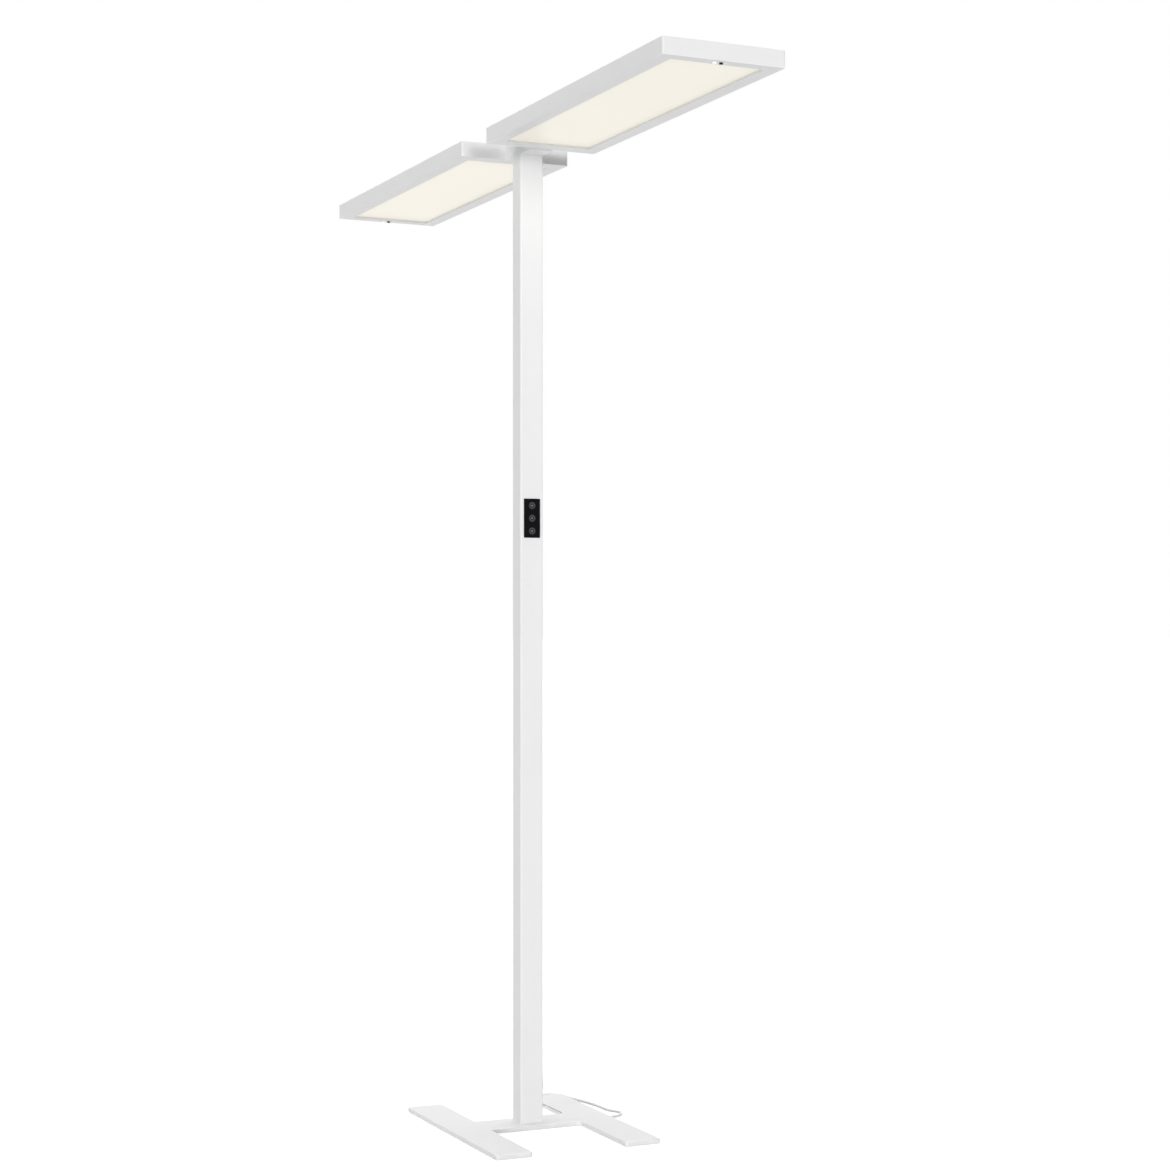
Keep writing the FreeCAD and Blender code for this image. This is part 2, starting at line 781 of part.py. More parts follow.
def make_arm():
    """A box-section arm across the column's top, with solid ends that the heads are screwed to."""
    body = new_body("Arm")
    half = "column_width / 2"
    block = new_sketch(body, "ArmOutline", offset=ARM_BOTTOM)
    rectangle(block, (f"-{half}", half), (f"-{HEAD_INNER}", HEAD_INNER))
    pad(body, block, "arm_height")
    hollow = new_sketch(body, "ArmHollow", offset=ARM_TOP)
    inside_x, inside_y = f"({half} - arm_wall)", f"({HEAD_INNER} - arm_end)"
    rectangle(hollow, (f"-{inside_x}", inside_x), (f"-{inside_y}", inside_y))
    pocket(body, hollow, "arm_height - arm_wall")
    seat = new_sketch(body, "ArmFloorHoles", offset=ARM_BOTTOM)
    circle(seat, "0", LEAD_Y, "lead_hole_radius")
    for x in ("arm_bolt_x", "-arm_bolt_x"):
        circle(seat, x, "0", "arm_bolt_radius + screw_clearance")
    pocket(body, seat, "arm_wall", upwards=True)
    ends = new_sketch(body, "ArmEndHoles", "XZ_Plane", HEAD_INNER)
    for x, z in arm_screw_places():
        circle(ends, x, z, "arm_screw_radius + thread_fit")
    circle(ends, "0", f"{ARM_BOTTOM} + arm_height / 2", "lead_hole_radius")
    pocket(body, ends)
    keep(body, "arm")
    lid = box(
        "ArmLid",
        (f"-({inside_x} - cover_fit)", f"{inside_x} - cover_fit"),
        (f"-({inside_y} - cover_fit)", f"{inside_y} - cover_fit"),
        (f"{ARM_TOP} - cover_thickness", ARM_TOP),
    )
    keep(lid, "arm_lid")


def make_arm_spigot():
    """A plug inside the column's top that the arm is bolted to, open in the middle for the lead."""
    low = f"({ARM_BOTTOM} - arm_spigot_height)"
    block = box("ArmSpigotBlock", (f"-{SPIGOT_X}", SPIGOT_X), (f"-{SPIGOT_Y}", SPIGOT_Y), (low, ARM_BOTTOM))
    channel_length = "arm_spigot_height + 2 * overrun"
    channel = rod("ArmSpigotChannel", "lead_hole_radius", channel_length, "0", LEAD_Y, f"{low} - overrun")
    bolt_x = ("arm_bolt_x", "-arm_bolt_x")
    bore, depth = "arm_bolt_radius + thread_fit", "arm_bolt_length + thread_runout"
    threads = [
        rod(f"ArmThread{k}", bore, f"{depth} + overrun", x, "0", f"{ARM_BOTTOM} + overrun", DOWN)
        for k, x in enumerate(bolt_x)
    ]
    keep(cut("ArmSpigot", block, channel, *threads), "arm_spigot")
    floor = f"({ARM_BOTTOM} + arm_wall)"
    bolts = [
        button_screw(f"ArmBolt{k}", "arm_bolt_radius", "arm_bolt_length", x, "0", floor, DOWN)
        for k, x in enumerate(bolt_x)
    ]
    keep(group("ArmBolts", bolts), "arm_bolts")
    terminal = box(
        "TerminalBlock",
        ("-terminal_width / 2", "terminal_width / 2"),
        (f"{LEAD_Y} - terminal_length / 2", f"{LEAD_Y} + terminal_length / 2"),
        (floor, f"{floor} + terminal_height"),
    )
    keep(terminal, "terminal_block")


# ---------------------------------------------------------------- heads
def span(sign, low, high):
    """A stretch along Y of the far head, or its mirror image in the near head."""
    return (f"({low})", f"({high})") if sign > 0 else (f"-({high})", f"-({low})")


def make_head(side, sign):
    name = side.title()
    half = "head_width / 2"
    inside_in, inside_out = f"{HEAD_INNER} + frame_wall", f"{HEAD_OUTER} - frame_wall"
    sensor_low = f"{HEAD_OUTER} - frame_wall - sensor_depth"
    sensor_y = f"({HEAD_OUTER} - outer_rim / 2)"
    towards = "" if sign > 0 else "-"

    # frame: one tray with a rim below, a rebate for the cover above
    body = new_body(name + "Frame")
    block = new_sketch(body, name + "FrameOutline", offset=HEAD_BOTTOM)
    rectangle(block, (f"-{half}", half), span(sign, HEAD_INNER, HEAD_OUTER))
    tray = pad(body, block, "head_thickness")
    corners = edges_of(tray, upright)
    dress(body, "Fillet", tray, corners, "head_corner")
    rebate = new_sketch(body, name + "FrameRebate", offset="overall_height")
    ledge = "(frame_wall - cover_ledge)"
    rectangle(
        rebate,
        (f"-({half} - {ledge})", f"{half} - {ledge}"),
        span(sign, f"{HEAD_INNER} + {ledge}", f"{HEAD_OUTER} - {ledge}"),
    )
    pocket(body, rebate, "cover_thickness")
    hollow = new_sketch(body, name + "FrameHollow", offset="overall_height")
    rectangle(hollow, (f"-{INSIDE_X}", INSIDE_X), span(sign, inside_in, inside_out))
    pocket(body, hollow, "head_thickness - frame_flange")
    window = new_sketch(body, name + "LightOpening", offset=HEAD_BOTTOM)
    rectangle(
        window,
        (f"-({half} - side_rim)", f"{half} - side_rim"),
        span(sign, f"{HEAD_INNER} + inner_rim", f"{HEAD_OUTER} - outer_rim"),
    )
    pocket(body, window, "frame_flange", upwards=True)
    eyes = new_sketch(body, name + "SensorHoles", offset=HEAD_BOTTOM)
    eye = f"{towards}{sensor_y}"
    circle(eyes, "0", eye, "sensor_window_radius + sensor_fit")
    circle(eyes, "-sensor_lens_x", eye, "sensor_lens_radius + sensor_fit")
    circle(eyes, "pilot_x", eye, "pilot_radius + sensor_fit")
    pocket(body, eyes, "frame_flange", upwards=True)
    wall = new_sketch(body, name + "EndHoles", "XZ_Plane", f"{'-' if sign > 0 else ''}({inside_in})")
    for x, z in arm_screw_places():
        circle(wall, x, z, "arm_screw_radius + screw_clearance")
    circle(wall, "0", f"{ARM_BOTTOM} + arm_height / 2", "lead_hole_radius")
    pocket(body, wall, "frame_wall", upwards=sign > 0)
    keep(body, f"{side}_frame")

    # cover with countersunk holes over the corner blocks
    middle = "(corner_block / 2)"
    cover_x = f"({half} - {ledge} - cover_fit)"
    screw_x = f"({INSIDE_X} - {middle})"
    screw_y = [f"({inside_in} + {middle})", f"({inside_out} - {middle})"]
    spots = [(f"{i}{screw_x}", f"{towards}{y}") for i in ("", "-") for y in screw_y]
    sheet_y = span(sign, f"{HEAD_INNER} + {ledge} + cover_fit", f"{HEAD_OUTER} - {ledge} - cover_fit")
    panel = box(name + "CoverSheet", (f"-{cover_x}", cover_x), sheet_y, (COVER_BOTTOM, "overall_height"))
    bore, depth = "2 * cover_screw_radius + cover_hole_fit", "cover_thickness + 2 * overrun"
    holes = [
        rod(f"{name}CoverHole{k}", bore, depth, x, y, f"{COVER_BOTTOM} - overrun")
        for k, (x, y) in enumerate(spots)
    ]
    keep(cut(name + "Cover", panel, *holes), f"{side}_cover")
    head_z = "overall_height - screw_recess"
    screws = [
        flat_screw(f"{name}CoverScrew{k}", "cover_screw_radius", "cover_screw_length", x, y, head_z, DOWN)
        for k, (x, y) in enumerate(spots)
    ]
    keep(group(name + "CoverScrews", screws), f"{side}_cover_screws")
    blocks = []
    for k, (x, y) in enumerate(spots):
        lump = box(
            f"{name}Lump{k}",
            (f"{x} - {middle}", f"{x} + {middle}"),
            (f"{y} - {middle}", f"{y} + {middle}"),
            (DIFFUSER_TOP, COVER_BOTTOM),
        )
        bore, depth = "cover_screw_radius + thread_fit", "cover_screw_length - cover_thickness + thread_runout"
        thread = rod(f"{name}Thread{k}", bore, f"{depth} + overrun", x, y, f"{COVER_BOTTOM} + overrun", DOWN)
        blocks.append(cut(f"{name}Block{k}", lump, thread))
    keep(group(name + "CornerBlocks", blocks), f"{side}_corner_blocks")

    # optics: the diffuser lies on the rim, the reflector tray stands on the diffuser
    diffuser_x = f"({INSIDE_X} - diffuser_fit)"
    diffuser = box(
        name + "Diffuser",
        (f"-{diffuser_x}", diffuser_x),
        span(sign, f"{inside_in} + diffuser_fit", f"{sensor_low} - diffuser_fit"),
        (FLANGE_TOP, DIFFUSER_TOP),
    )
    keep(diffuser, f"{side}_diffuser")
    tray_x = f"({half} - side_rim + reflector_overlap)"
    tray_in = f"{HEAD_INNER} + inner_rim - reflector_overlap"
    tray_out = f"{HEAD_OUTER} - outer_rim + reflector_end"
    tray_top = f"({DIFFUSER_TOP} + reflector_height)"
    skin = "reflector_thickness"
    outer_y = span(sign, tray_in, tray_out)
    solid = box(name + "TrayOuter", (f"-{tray_x}", tray_x), outer_y, (DIFFUSER_TOP, tray_top))
    space = box(
        name + "TrayInner",
        (f"-({tray_x} - {skin})", f"{tray_x} - {skin}"),
        span(sign, f"{tray_in} + {skin}", f"{tray_out} - {skin}"),
        (f"{DIFFUSER_TOP} - overrun", f"{tray_top} - {skin}"),
    )
    keep(cut(name + "Reflector", solid, space), f"{side}_reflector")
    pitch = f"(2 * {tray_x} / strip_count)"
    strips = []
    for k in range(D["strip_count"]):
        x = f"(-{tray_x} + {pitch} * ({k} + 0.5))"
        strips.append(
            box(
                f"{name}Strip{k}",
                (f"{x} - strip_width / 2", f"{x} + strip_width / 2"),
                span(sign, f"{tray_in} + strip_end", f"{tray_out} - strip_end"),
                (f"{tray_top} - {skin} - strip_thickness", f"{tray_top} - {skin}"),
            )
        )
    keep(group(name + "LedStrips", strips), f"{side}_led_strips")

    # presence and daylight sensor in the outer rim
    module = box(
        name + "SensorModule",
        ("-sensor_width / 2", "sensor_width / 2"),
        span(sign, f"{sensor_low}", f"{HEAD_OUTER} - frame_wall - board_fit"),
        (FLANGE_TOP, f"{FLANGE_TOP} + sensor_height"),
    )
    keep(module, f"{side}_sensor_module")
    for label, radius, proud, x in (
        ("sensor_window", "sensor_window_radius", "sensor_proud", "0"),
        ("pilot_light", "pilot_radius", "pilot_proud", "pilot_x"),
    ):
        stud = rod(f"{name}_{label}", radius, f"frame_flange + {proud}", x, eye, f"{HEAD_BOTTOM} - {proud}")
        keep(stud, f"{side}_{label}")
    shoulder = "(frame_flange + sensor_proud - lens_crown_height)"
    lens = turned_body(
        name + "SensorLens",
        [
            ("0", "0"),
            ("sensor_lens_radius", "0"),
            ("sensor_lens_radius", f"{shoulder} - (sensor_lens_radius - lens_crown_radius)"),
            ("lens_crown_radius", shoulder),
            ("0", f"{shoulder} + lens_crown_height"),
        ],
    )
    place(lens, "-sensor_lens_x", eye, FLANGE_TOP, DOWN)
    keep(lens, f"{side}_sensor_lens")

    # fixing to the arm, and the lead to this head
    plate_low = f"({DIFFUSER_TOP} + arm_plate_rise)"
    plate = box(
        name + "ArmPlateBar",
        ("-arm_plate_width / 2", "arm_plate_width / 2"),
        span(sign, inside_in, f"{inside_in} + arm_plate_thickness"),
        (plate_low, f"{plate_low} + arm_plate_height"),
    )
    outward = TO_REAR if sign > 0 else TO_FRONT
    inward = TO_FRONT if sign > 0 else TO_REAR
    bores = [("arm_screw_radius + screw_clearance", x, z) for x, z in arm_screw_places()]
    bores += [("lead_hole_radius", "0", f"{ARM_BOTTOM} + arm_height / 2")]
    depth, begin = "arm_plate_thickness + 2 * overrun", f"{towards}({inside_in} - overrun)"
    passages = [
        rod(f"{name}PlateHole{k}", radius, depth, x, begin, z, outward)
        for k, (radius, x, z) in enumerate(bores)
    ]
    keep(cut(name + "ArmPlate", plate, *passages), f"{side}_arm_plate")
    head_face = f"{towards}({inside_in} + arm_plate_thickness)"
    fixings = [
        button_screw(f"{name}ArmScrew{k}", "arm_screw_radius", "arm_screw_length", x, head_face, z, inward)
        for k, (x, z) in enumerate(arm_screw_places())
    ]
    keep(group(name + "ArmScrews", fixings), f"{side}_arm_screws")
    begin = f"{LEAD_Y} {'+' if sign > 0 else '-'} terminal_length / 2"
    run = f"{inside_in} + inner_rim / 2 - ({begin})" if sign > 0 else f"{inside_in} + inner_rim / 2 + {begin}"
    lead = rod(name + "Lead", "inner_lead_radius", run, "0", begin, f"{ARM_BOTTOM} + arm_height / 2", outward)
    keep(lead, f"{side}_head_lead")


# ---------------------------------------------------------------- mains lead
def tangent_bend(before, corner, after, radius):
    """The start, middle and end of the arc that rounds a corner of a route."""
    back = (before - corner).normalize()
    ahead = (after - corner).normalize()
    half = back.getAngle(ahead) / 2
    reach = radius / math.tan(half)
    middle = (back + ahead).normalize()
    centre = corner + middle * (radius / math.sin(half))
    return corner + back * reach, centre - middle * radius, corner + ahead * reach


def bend_radius(before, corner, after, share=0.45):
    """The radius that takes up this share of the shorter run beside a corner."""
    turn = math.pi - (before - corner).getAngle(after - corner)
    return share * min((before - corner).Length, (after - corner).Length) / math.tan(turn / 2)


def rounded_path(points, radii):
    """Straight runs joined by tangent arcs, as one wire."""
    edges, here = [], points[0]
    for k, radius in enumerate(radii, start=1):
        start, middle, end = tangent_bend(points[k - 1], points[k], points[k + 1], radius)
        edges.append(Part.LineSegment(here, start).toShape())
        edges.append(Part.Arc(start, middle, end).toShape())
        here = end
    edges.append(Part.LineSegment(here, points[-1]).toShape())
    return Part.Wire(edges)


def tube_along(path, radius):
    """A round tube along a wire; its volume has to be its section times its length."""
    first = path.Edges[0]
    start = first.valueAt(first.FirstParameter)
    heading = first.tangentAt(first.FirstParameter)
    ring = Part.Wire(Part.Circle(start, heading, radius).toShape())
    tube = path.makePipeShell([ring], True, False)
    expected = math.pi * radius**2 * path.Length
    if not tube.isValid() or abs(tube.Volume - expected) > 0.01 * expected:
        raise RuntimeError(f"tube volume {tube.Volume:.0f}, not {expected:.0f}")
    return tube


FLOOR = D["lead_radius"]
HANK_Z = D["lead_radius"] + D["hank_rise"]
# the hank lies behind the base, along this direction, with this point at the middle of its first end
HANK_START = Vector(149, 335, 0)
HANK_AXIS = Vector(0.3967, 0.9180, 0).normalize()
HANK_SIDE = Vector(HANK_AXIS.y, -HANK_AXIS.x, 0)

# The lead's route: out of the strain relief, down to the floor behind the column, round into the relief
# under the right foot, out on its right side in an open bend, back along the foot and round its rear corner.
BOOT_REACH = D["collar_thickness"] + D["boot_length"] + D["boot_end"]
LEAD_EXIT = Vector(0, D["column_depth"] / 2 + BOOT_REACH, D["relief_height"])
LEAD_DROP = [(1, 63, 23.2), (5, 79, 18.5), (12, 94, 11), (20.5, 109.5, 5.2), (28.5, 126, 2.9)]
LEAD_ON_FLOOR = [
    (37, 142), (44.6, 158), (51.6, 173.4), (64, 183.1), (79.5, 186.1), (94.6, 181.8), (106.1, 171),
    (113.4, 150.2), (120.2, 123.6), (129.6, 95), (138.2, 63.8), (147.6, 34.4),
    (156.3, 12.6), (166, 2.7), (178.9, -2.3), (192.7, -1.5), (205, 4.9), (213.5, 15.9), (216.7, 29.3),
    (214.1, 42.9), (204.4, 56.2), (202, 77), (201.9, 100), (199.4, 124), (196, 147), (190.6, 168),
    (184.6, 188), (181.2, 207.5), (177.8, 231.8), (168.5, 244.6), (154.5, 251.7), (123.2, 251.7),
    (108.3, 259.6), (99.2, 273.4), (97.8, 289.9),
]
LEAD_RISE = [(105.6, 308.3, 3), (114.1, 328.3, 3.8)]
# the tail behind the hank: how far along, how far aside and how high
LEAD_TAIL = [
    (20, 0, 10.1), (42, 2, 6.5), (64, 5, 2.8), (86, 9, 2.8), (108, 12, 5.5), (130, 14, 13),
    (154, 15, 18.5), (178, 15, 18.5),
]
LEAD_ROUTE = [
    LEAD_EXIT,
    *[Vector(*point) for point in LEAD_DROP],
    *[Vector(x, y, FLOOR) for x, y in LEAD_ON_FLOOR],
    *[Vector(*point) for point in LEAD_RISE],
    HANK_START - HANK_SIDE * D["hank_outer"] + Vector(0, 0, HANK_Z),
]


def make_mains_lead():
    """The free stretch from the strain relief to the hank."""
    points = LEAD_ROUTE
    radii = [bend_radius(*points[k - 1:k + 2]) for k in range(1, len(points) - 1)]
    print("mains lead bend radii:", " ".join(f"{r:.0f}" for r in radii))
    path = rounded_path(points, radii)
    print(f"mains lead: {path.Length:.0f} mm")
    lead = doc.addObject("Part::Feature", "MainsLead")
    lead.Shape = tube_along(path, D["lead_radius"])
    keep(lead, "mains_lead")
    return path.Length


def s_bend(start, end, along):
    """Two equal arcs from start to end, both ends running along the given direction."""
    across = (end - start) - along * (end - start).dot(along)
    if across.Length < 1e-6:
        return [Part.LineSegment(start, end).toShape()]
    reach, shift = (end - start).dot(along), across.Length
    sideways = across.normalize()
    radius = (reach**2 + shift**2) / (4 * shift)
    quarter = math.asin(abs(reach) / 2 / radius) / 2
    step = along * (radius * math.sin(quarter) * math.copysign(1, reach))
    lift = sideways * (radius * (1 - math.cos(quarter)))
    middle = (start + end) * 0.5
    return [
        Part.Arc(start, start + step + lift, middle).toShape(),
        Part.Arc(middle, end - step - lift, end).toShape(),
    ]


def hank_place(along, offset, height):
    return HANK_START + HANK_AXIS * along + HANK_SIDE * offset + Vector(0, 0, height)


def hank_wire():
    """Runs side by side that spiral in on the floor and out again on top, drawn in at the waist."""
    each_way, step = D["hank_run_count"], D["hank_step"]
    inward = [D["hank_outer"] - k * step / 2 for k in range(each_way)]
    offsets = inward + inward[-2::-1]
    lower, upper = HANK_Z, HANK_Z + step
    edges = []
    for k, size in enumerate(offsets):
        side = -1 if k % 2 == 0 else 1
        begin, end = (0, D["hank_run"]) if side < 0 else (D["hank_run"], 0)
        low = lower if k < each_way else upper
        high = lower if k < each_way - 1 else upper
        start = hank_place(begin, side * size, low)
        waist = hank_place(D["hank_run"] / 2, side * (size - D["hank_waist"]), (low + high) / 2)
        finish = hank_place(end, side * size, high)
        if edges:
            radius = (size + offsets[k - 1]) / 2
            outward = HANK_AXIS * (radius if begin > 0 else -radius)
            last = edges[-1].Vertexes[-1].Point
            edges.append(Part.Arc(last, (last + start) * 0.5 + outward, start).toShape())
        edges += s_bend(start, waist, HANK_AXIS) + s_bend(waist, finish, HANK_AXIS)
    return Part.Wire(edges)


def least_gap(wire, diameter):
    """The least gap between two turns of the wire, on points along it."""
    count = int(wire.Length / 2)
    points = wire.discretize(Number=count)
    apart = int(3 * diameter / 2)
    least = min(
        points[i].distanceToPoint(points[j]) for i in range(count) for j in range(i + apart, count)
    )
    return least - diameter


def make_hank():
    path = hank_wire()
    print(f"hank: {path.Length:.0f} mm, least gap {least_gap(path, 2 * D['lead_radius']):.2f} mm")
    hank = doc.addObject("Part::Feature", "MainsLeadHank")
    hank.Shape = tube_along(path, D["lead_radius"])
    keep(hank, "mains_lead_hank")

    return path.Length


def make_tie():
    """A strap round the waist of the hank."""
    thick, fit, length = D["tie_thickness"], D["tie_fit"], D["tie_width"]
    half = D["hank_outer"] - D["hank_waist"] + D["lead_radius"] + fit
    low = D["hank_rise"] - fit - thick
    high = HANK_Z + D["hank_step"] + D["lead_radius"] + fit + thick
    turned = Rotation(Vector(0, 1, 0), HANK_AXIS)
    middle = HANK_START + HANK_AXIS * (D["hank_run"] / 2)
    blocks = []
    for name, wall, past in (("TieOuter", 0, 0), ("TieInner", thick, D["overrun"])):
        block = doc.addObject("Part::Box", name)
        block.Length, block.Width = 2 * (half + thick - wall), length + 2 * past
        block.Height = high - low - 2 * wall
        corner = middle - HANK_SIDE * (half + thick - wall) - HANK_AXIS * (length / 2 + past)
        block.Placement = FreeCAD.Placement(corner + Vector(0, 0, low + wall), turned)
        blocks.append(block)
    keep(cut("LeadTie", *blocks), "lead_tie")


def make_lead_tail():
    """From the hank's last run to the plug, which lies behind it."""
    start = hank_place(D["hank_run"], -D["hank_outer"], HANK_Z + D["hank_step"])
    points = [start] + [
        hank_place(D["hank_run"] + along, aside - D["hank_outer"], height) for along, aside, height in LEAD_TAIL
    ]
    radii = [bend_radius(*points[k - 1:k + 2]) for k in range(1, len(points) - 1)]
    print("lead tail bend radii:", " ".join(f"{r:.0f}" for r in radii))
    path = rounded_path(points, radii)
    tail = doc.addObject("Part::Feature", "MainsLeadTail")
    tail.Shape = tube_along(path, D["lead_radius"])
    keep(tail, "mains_lead_tail")
    return path.Length, points[-1]


def make_plug(entry):
    """A moulded straight plug that lies on its side: boot, grip, round face and two pins."""
    boot, grip, face = "plug_boot", "(plug_boot + plug_grip)", "(plug_boot + plug_grip + plug_face)"
    profile = [
        ("0", "0"),
        ("lead_radius + plug_boot_wall", "0"),
        ("lead_radius + plug_boot_wall + plug_boot_flare", boot),
        ("plug_grip_radius", f"{boot} + plug_shoulder"),
        ("plug_grip_radius", f"{grip} - plug_neck"),
        ("plug_radius", grip),
        ("plug_radius", f"{face} - plug_edge"),
        ("plug_radius - plug_edge", face),
        ("0", face),
    ]
    body = turned_body("MainsPlug", profile)
    turned = Rotation(Vector(0, 0, 1), HANK_AXIS)
    body.Placement = FreeCAD.Placement(entry, turned)
    keep(body, "plug")
    base = entry + HANK_AXIS * (D["plug_boot"] + D["plug_grip"] + D["plug_face"])
    pins = []
    for k, side in enumerate((-1, 1)):
        stud = doc.addObject("Part::Cylinder", f"PlugPin{k}")
        bind(stud, "Radius", "pin_radius")
        bind(stud, "Height", "pin_length")
        stud.Placement = FreeCAD.Placement(base + HANK_SIDE * (side * D["pin_pitch"] / 2), turned)
        pins.append(stud)
    keep(group("PlugPins", pins), "plug_pins")


# ---------------------------------------------------------------- build
make_base_plate()
make_base_hardware()
make_column()
make_column_spigot()
make_column_screws()
make_strain_relief()
make_keypad_housing()
make_keypad_fascia()
make_keys()
make_keypad_board()
make_driver()
make_inner_leads()
make_arm()
make_arm_spigot()
make_head("near", -1)
make_head("far", 1)
free_length = make_mains_lead()
hank_length = make_hank()
make_tie()
tail_length, lead_end = make_lead_tail()
make_plug(lead_end)
print(f"mains lead in all: {free_length + hank_length + tail_length:.0f} mm")

doc.recompute()
for thing in doc.Objects:
    if "Invalid" in thing.State or "Error" in thing.State:
        raise RuntimeError(f"{thing.Name} failed: {thing.State}")
os.makedirs("parts", exist_ok=True)
for thing in NODES:
    if thing.Shape.isNull() or not thing.Shape.isValid():
        raise RuntimeError(f"{thing.Label} has no valid shape")
for thing in NODES:
    thing.Shape.exportStep(f"parts/{thing.Label}.step")
print(f"{len(NODES)} sub-parts")
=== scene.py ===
import math

import bpy
from mathutils import Matrix, Vector


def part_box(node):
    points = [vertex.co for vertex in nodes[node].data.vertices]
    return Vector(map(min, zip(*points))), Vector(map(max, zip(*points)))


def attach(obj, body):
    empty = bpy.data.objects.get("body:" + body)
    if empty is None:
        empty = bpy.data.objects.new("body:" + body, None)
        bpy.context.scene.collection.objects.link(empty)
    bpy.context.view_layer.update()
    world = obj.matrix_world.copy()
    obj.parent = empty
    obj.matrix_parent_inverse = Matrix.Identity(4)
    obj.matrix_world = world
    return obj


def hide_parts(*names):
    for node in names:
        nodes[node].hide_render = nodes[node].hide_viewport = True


# Office floor lamp with two flat heads, an H-shaped base and a keypad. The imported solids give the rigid
# forms; this script gives them their finishes, lays the mains lead and makes the small fittings in full.

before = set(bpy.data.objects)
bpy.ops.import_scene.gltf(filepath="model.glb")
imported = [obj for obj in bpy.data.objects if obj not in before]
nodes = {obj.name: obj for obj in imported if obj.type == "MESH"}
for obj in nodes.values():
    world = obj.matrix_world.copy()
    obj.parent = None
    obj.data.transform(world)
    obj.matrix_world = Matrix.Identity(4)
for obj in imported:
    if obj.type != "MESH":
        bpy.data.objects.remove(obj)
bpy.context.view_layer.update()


# ---------------------------------------------------------------- camera
CAMERA_PLACE = (-1.784, -4.1387, 0.982)
CAMERA_HEADING = -24.757
CAMERA_TILT = 90
FOCAL_LENGTH = 70.1
FILM_WIDTH = 36
FRAME_RISE = 0.038


def set_camera():
    """The photograph's viewpoint: level, in front of the lamp and to the left of it."""
    lens = bpy.data.cameras.new("photo_camera")
    lens.lens = FOCAL_LENGTH
    lens.sensor_width = FILM_WIDTH
    lens.shift_y = FRAME_RISE
    camera = bpy.data.objects.new("photo_camera", lens)
    camera.location = CAMERA_PLACE
    camera.rotation_euler = (math.radians(CAMERA_TILT), 0, math.radians(CAMERA_HEADING))
    bpy.context.scene.collection.objects.link(camera)
    bpy.context.scene.camera = camera


# ---------------------------------------------------------------- mains lead
LEAD_RADIUS = 0.0028
HEIGHT_ON_FLOOR = LEAD_RADIUS
HANK_START = Vector((0.149, 0.335, 0))
HANK_AXIS = Vector((0.3967, 0.9180, 0)).normalized()
HANK_SIDE = Vector((HANK_AXIS.y, -HANK_AXIS.x, 0))
HANK_OUTER = 0.0294
HANK_STEP = 0.0063
HANK_RUN = 0.110
HANK_WAIST = 0.005
HANK_HEIGHT = 0.0038
RUNS_INWARD = 5
FOLD_POINTS = 5

# from the strain relief down to the floor
LEAD_DROP = [
    (0, 0.0485, 0.024), (0.001, 0.063, 0.0232), (0.005, 0.079, 0.0185),
    (0.012, 0.094, 0.011), (0.0205, 0.1095, 0.0052), (0.0285, 0.126, 0.0029),
]
# under the right foot, round its outer side and back to the hank
LEAD_ON_FLOOR = [
    (0.037, 0.142), (0.0446, 0.158), (0.0516, 0.1734), (0.064, 0.1831), (0.0795, 0.1861),
    (0.0946, 0.1818), (0.1061, 0.171), (0.1134, 0.1502), (0.1202, 0.1236), (0.1296, 0.095),
    (0.1382, 0.0638), (0.1476, 0.0344), (0.1563, 0.0126), (0.166, 0.0027), (0.1789, -0.0023),
    (0.1927, -0.0015), (0.205, 0.0049), (0.2135, 0.0159), (0.2167, 0.0293), (0.2141, 0.0429),
    (0.2044, 0.0562), (0.202, 0.077), (0.2019, 0.1), (0.1994, 0.124), (0.196, 0.147),
    (0.1906, 0.168), (0.1846, 0.188), (0.1812, 0.2075), (0.1778, 0.2318), (0.1685, 0.2446),
    (0.1545, 0.2517), (0.1232, 0.2517), (0.1083, 0.2596), (0.0992, 0.2734), (0.0978, 0.2899),
]
LEAD_RISE = [(0.1056, 0.3083, 0.003), (0.1141, 0.3283, 0.0038)]
# the tail behind the hank: how far along, how far aside and how high
LEAD_TAIL = [
    (0.020, 0, 0.0101), (0.042, 0.002, 0.0065), (0.064, 0.005, 0.0028), (0.086, 0.009, 0.0028),
    (0.108, 0.012, 0.0055), (0.130, 0.014, 0.013), (0.154, 0.015, 0.0185), (0.178, 0.015, 0.0185),
]


def hank_place(along, aside, height):
    """A place measured from the hank's start, along it, to its side and up."""
    return HANK_START + HANK_AXIS * along + HANK_SIDE * aside + Vector((0, 0, height))


def tail_place(along, aside, height):
    """A place on the tail, measured from where the lead leaves the hank."""
    return hank_place(HANK_RUN + along, aside - HANK_OUTER, height)


def hank_points():
    """Runs that spiral in on the floor and out again on top, drawn in at the waist by the tie."""
    inward = [HANK_OUTER - k * HANK_STEP / 2 for k in range(RUNS_INWARD)]
    offsets = inward + inward[-2::-1]
    middle = len(inward) - 1
    points = []
    for k, size in enumerate(offsets):
        side = -1 if k % 2 == 0 else 1
        low = HANK_HEIGHT + (HANK_STEP if k > middle else 0)
        climb = HANK_STEP if k == middle else 0
        for share, drawn_in in ((1 / 8, 0), (3 / 8, HANK_WAIST), (5 / 8, HANK_WAIST), (7 / 8, 0)):
            along = HANK_RUN * (share if side < 0 else 1 - share)
            points.append(hank_place(along, side * (size - drawn_in), low + climb * share))
        if k + 1 < len(offsets):
            radius = (size + offsets[k + 1]) / 2
            centre = side * (size - radius)
            reach = radius / math.cos(math.pi / 2 / FOLD_POINTS)
            end = HANK_RUN if side < 0 else 0
            for point in range(FOLD_POINTS):
                angle = math.pi * (point + 0.5) / FOLD_POINTS
                along = end - side * reach * math.sin(angle)
                points.append(hank_place(along, centre + side * reach * math.cos(angle), low + climb))
    return points


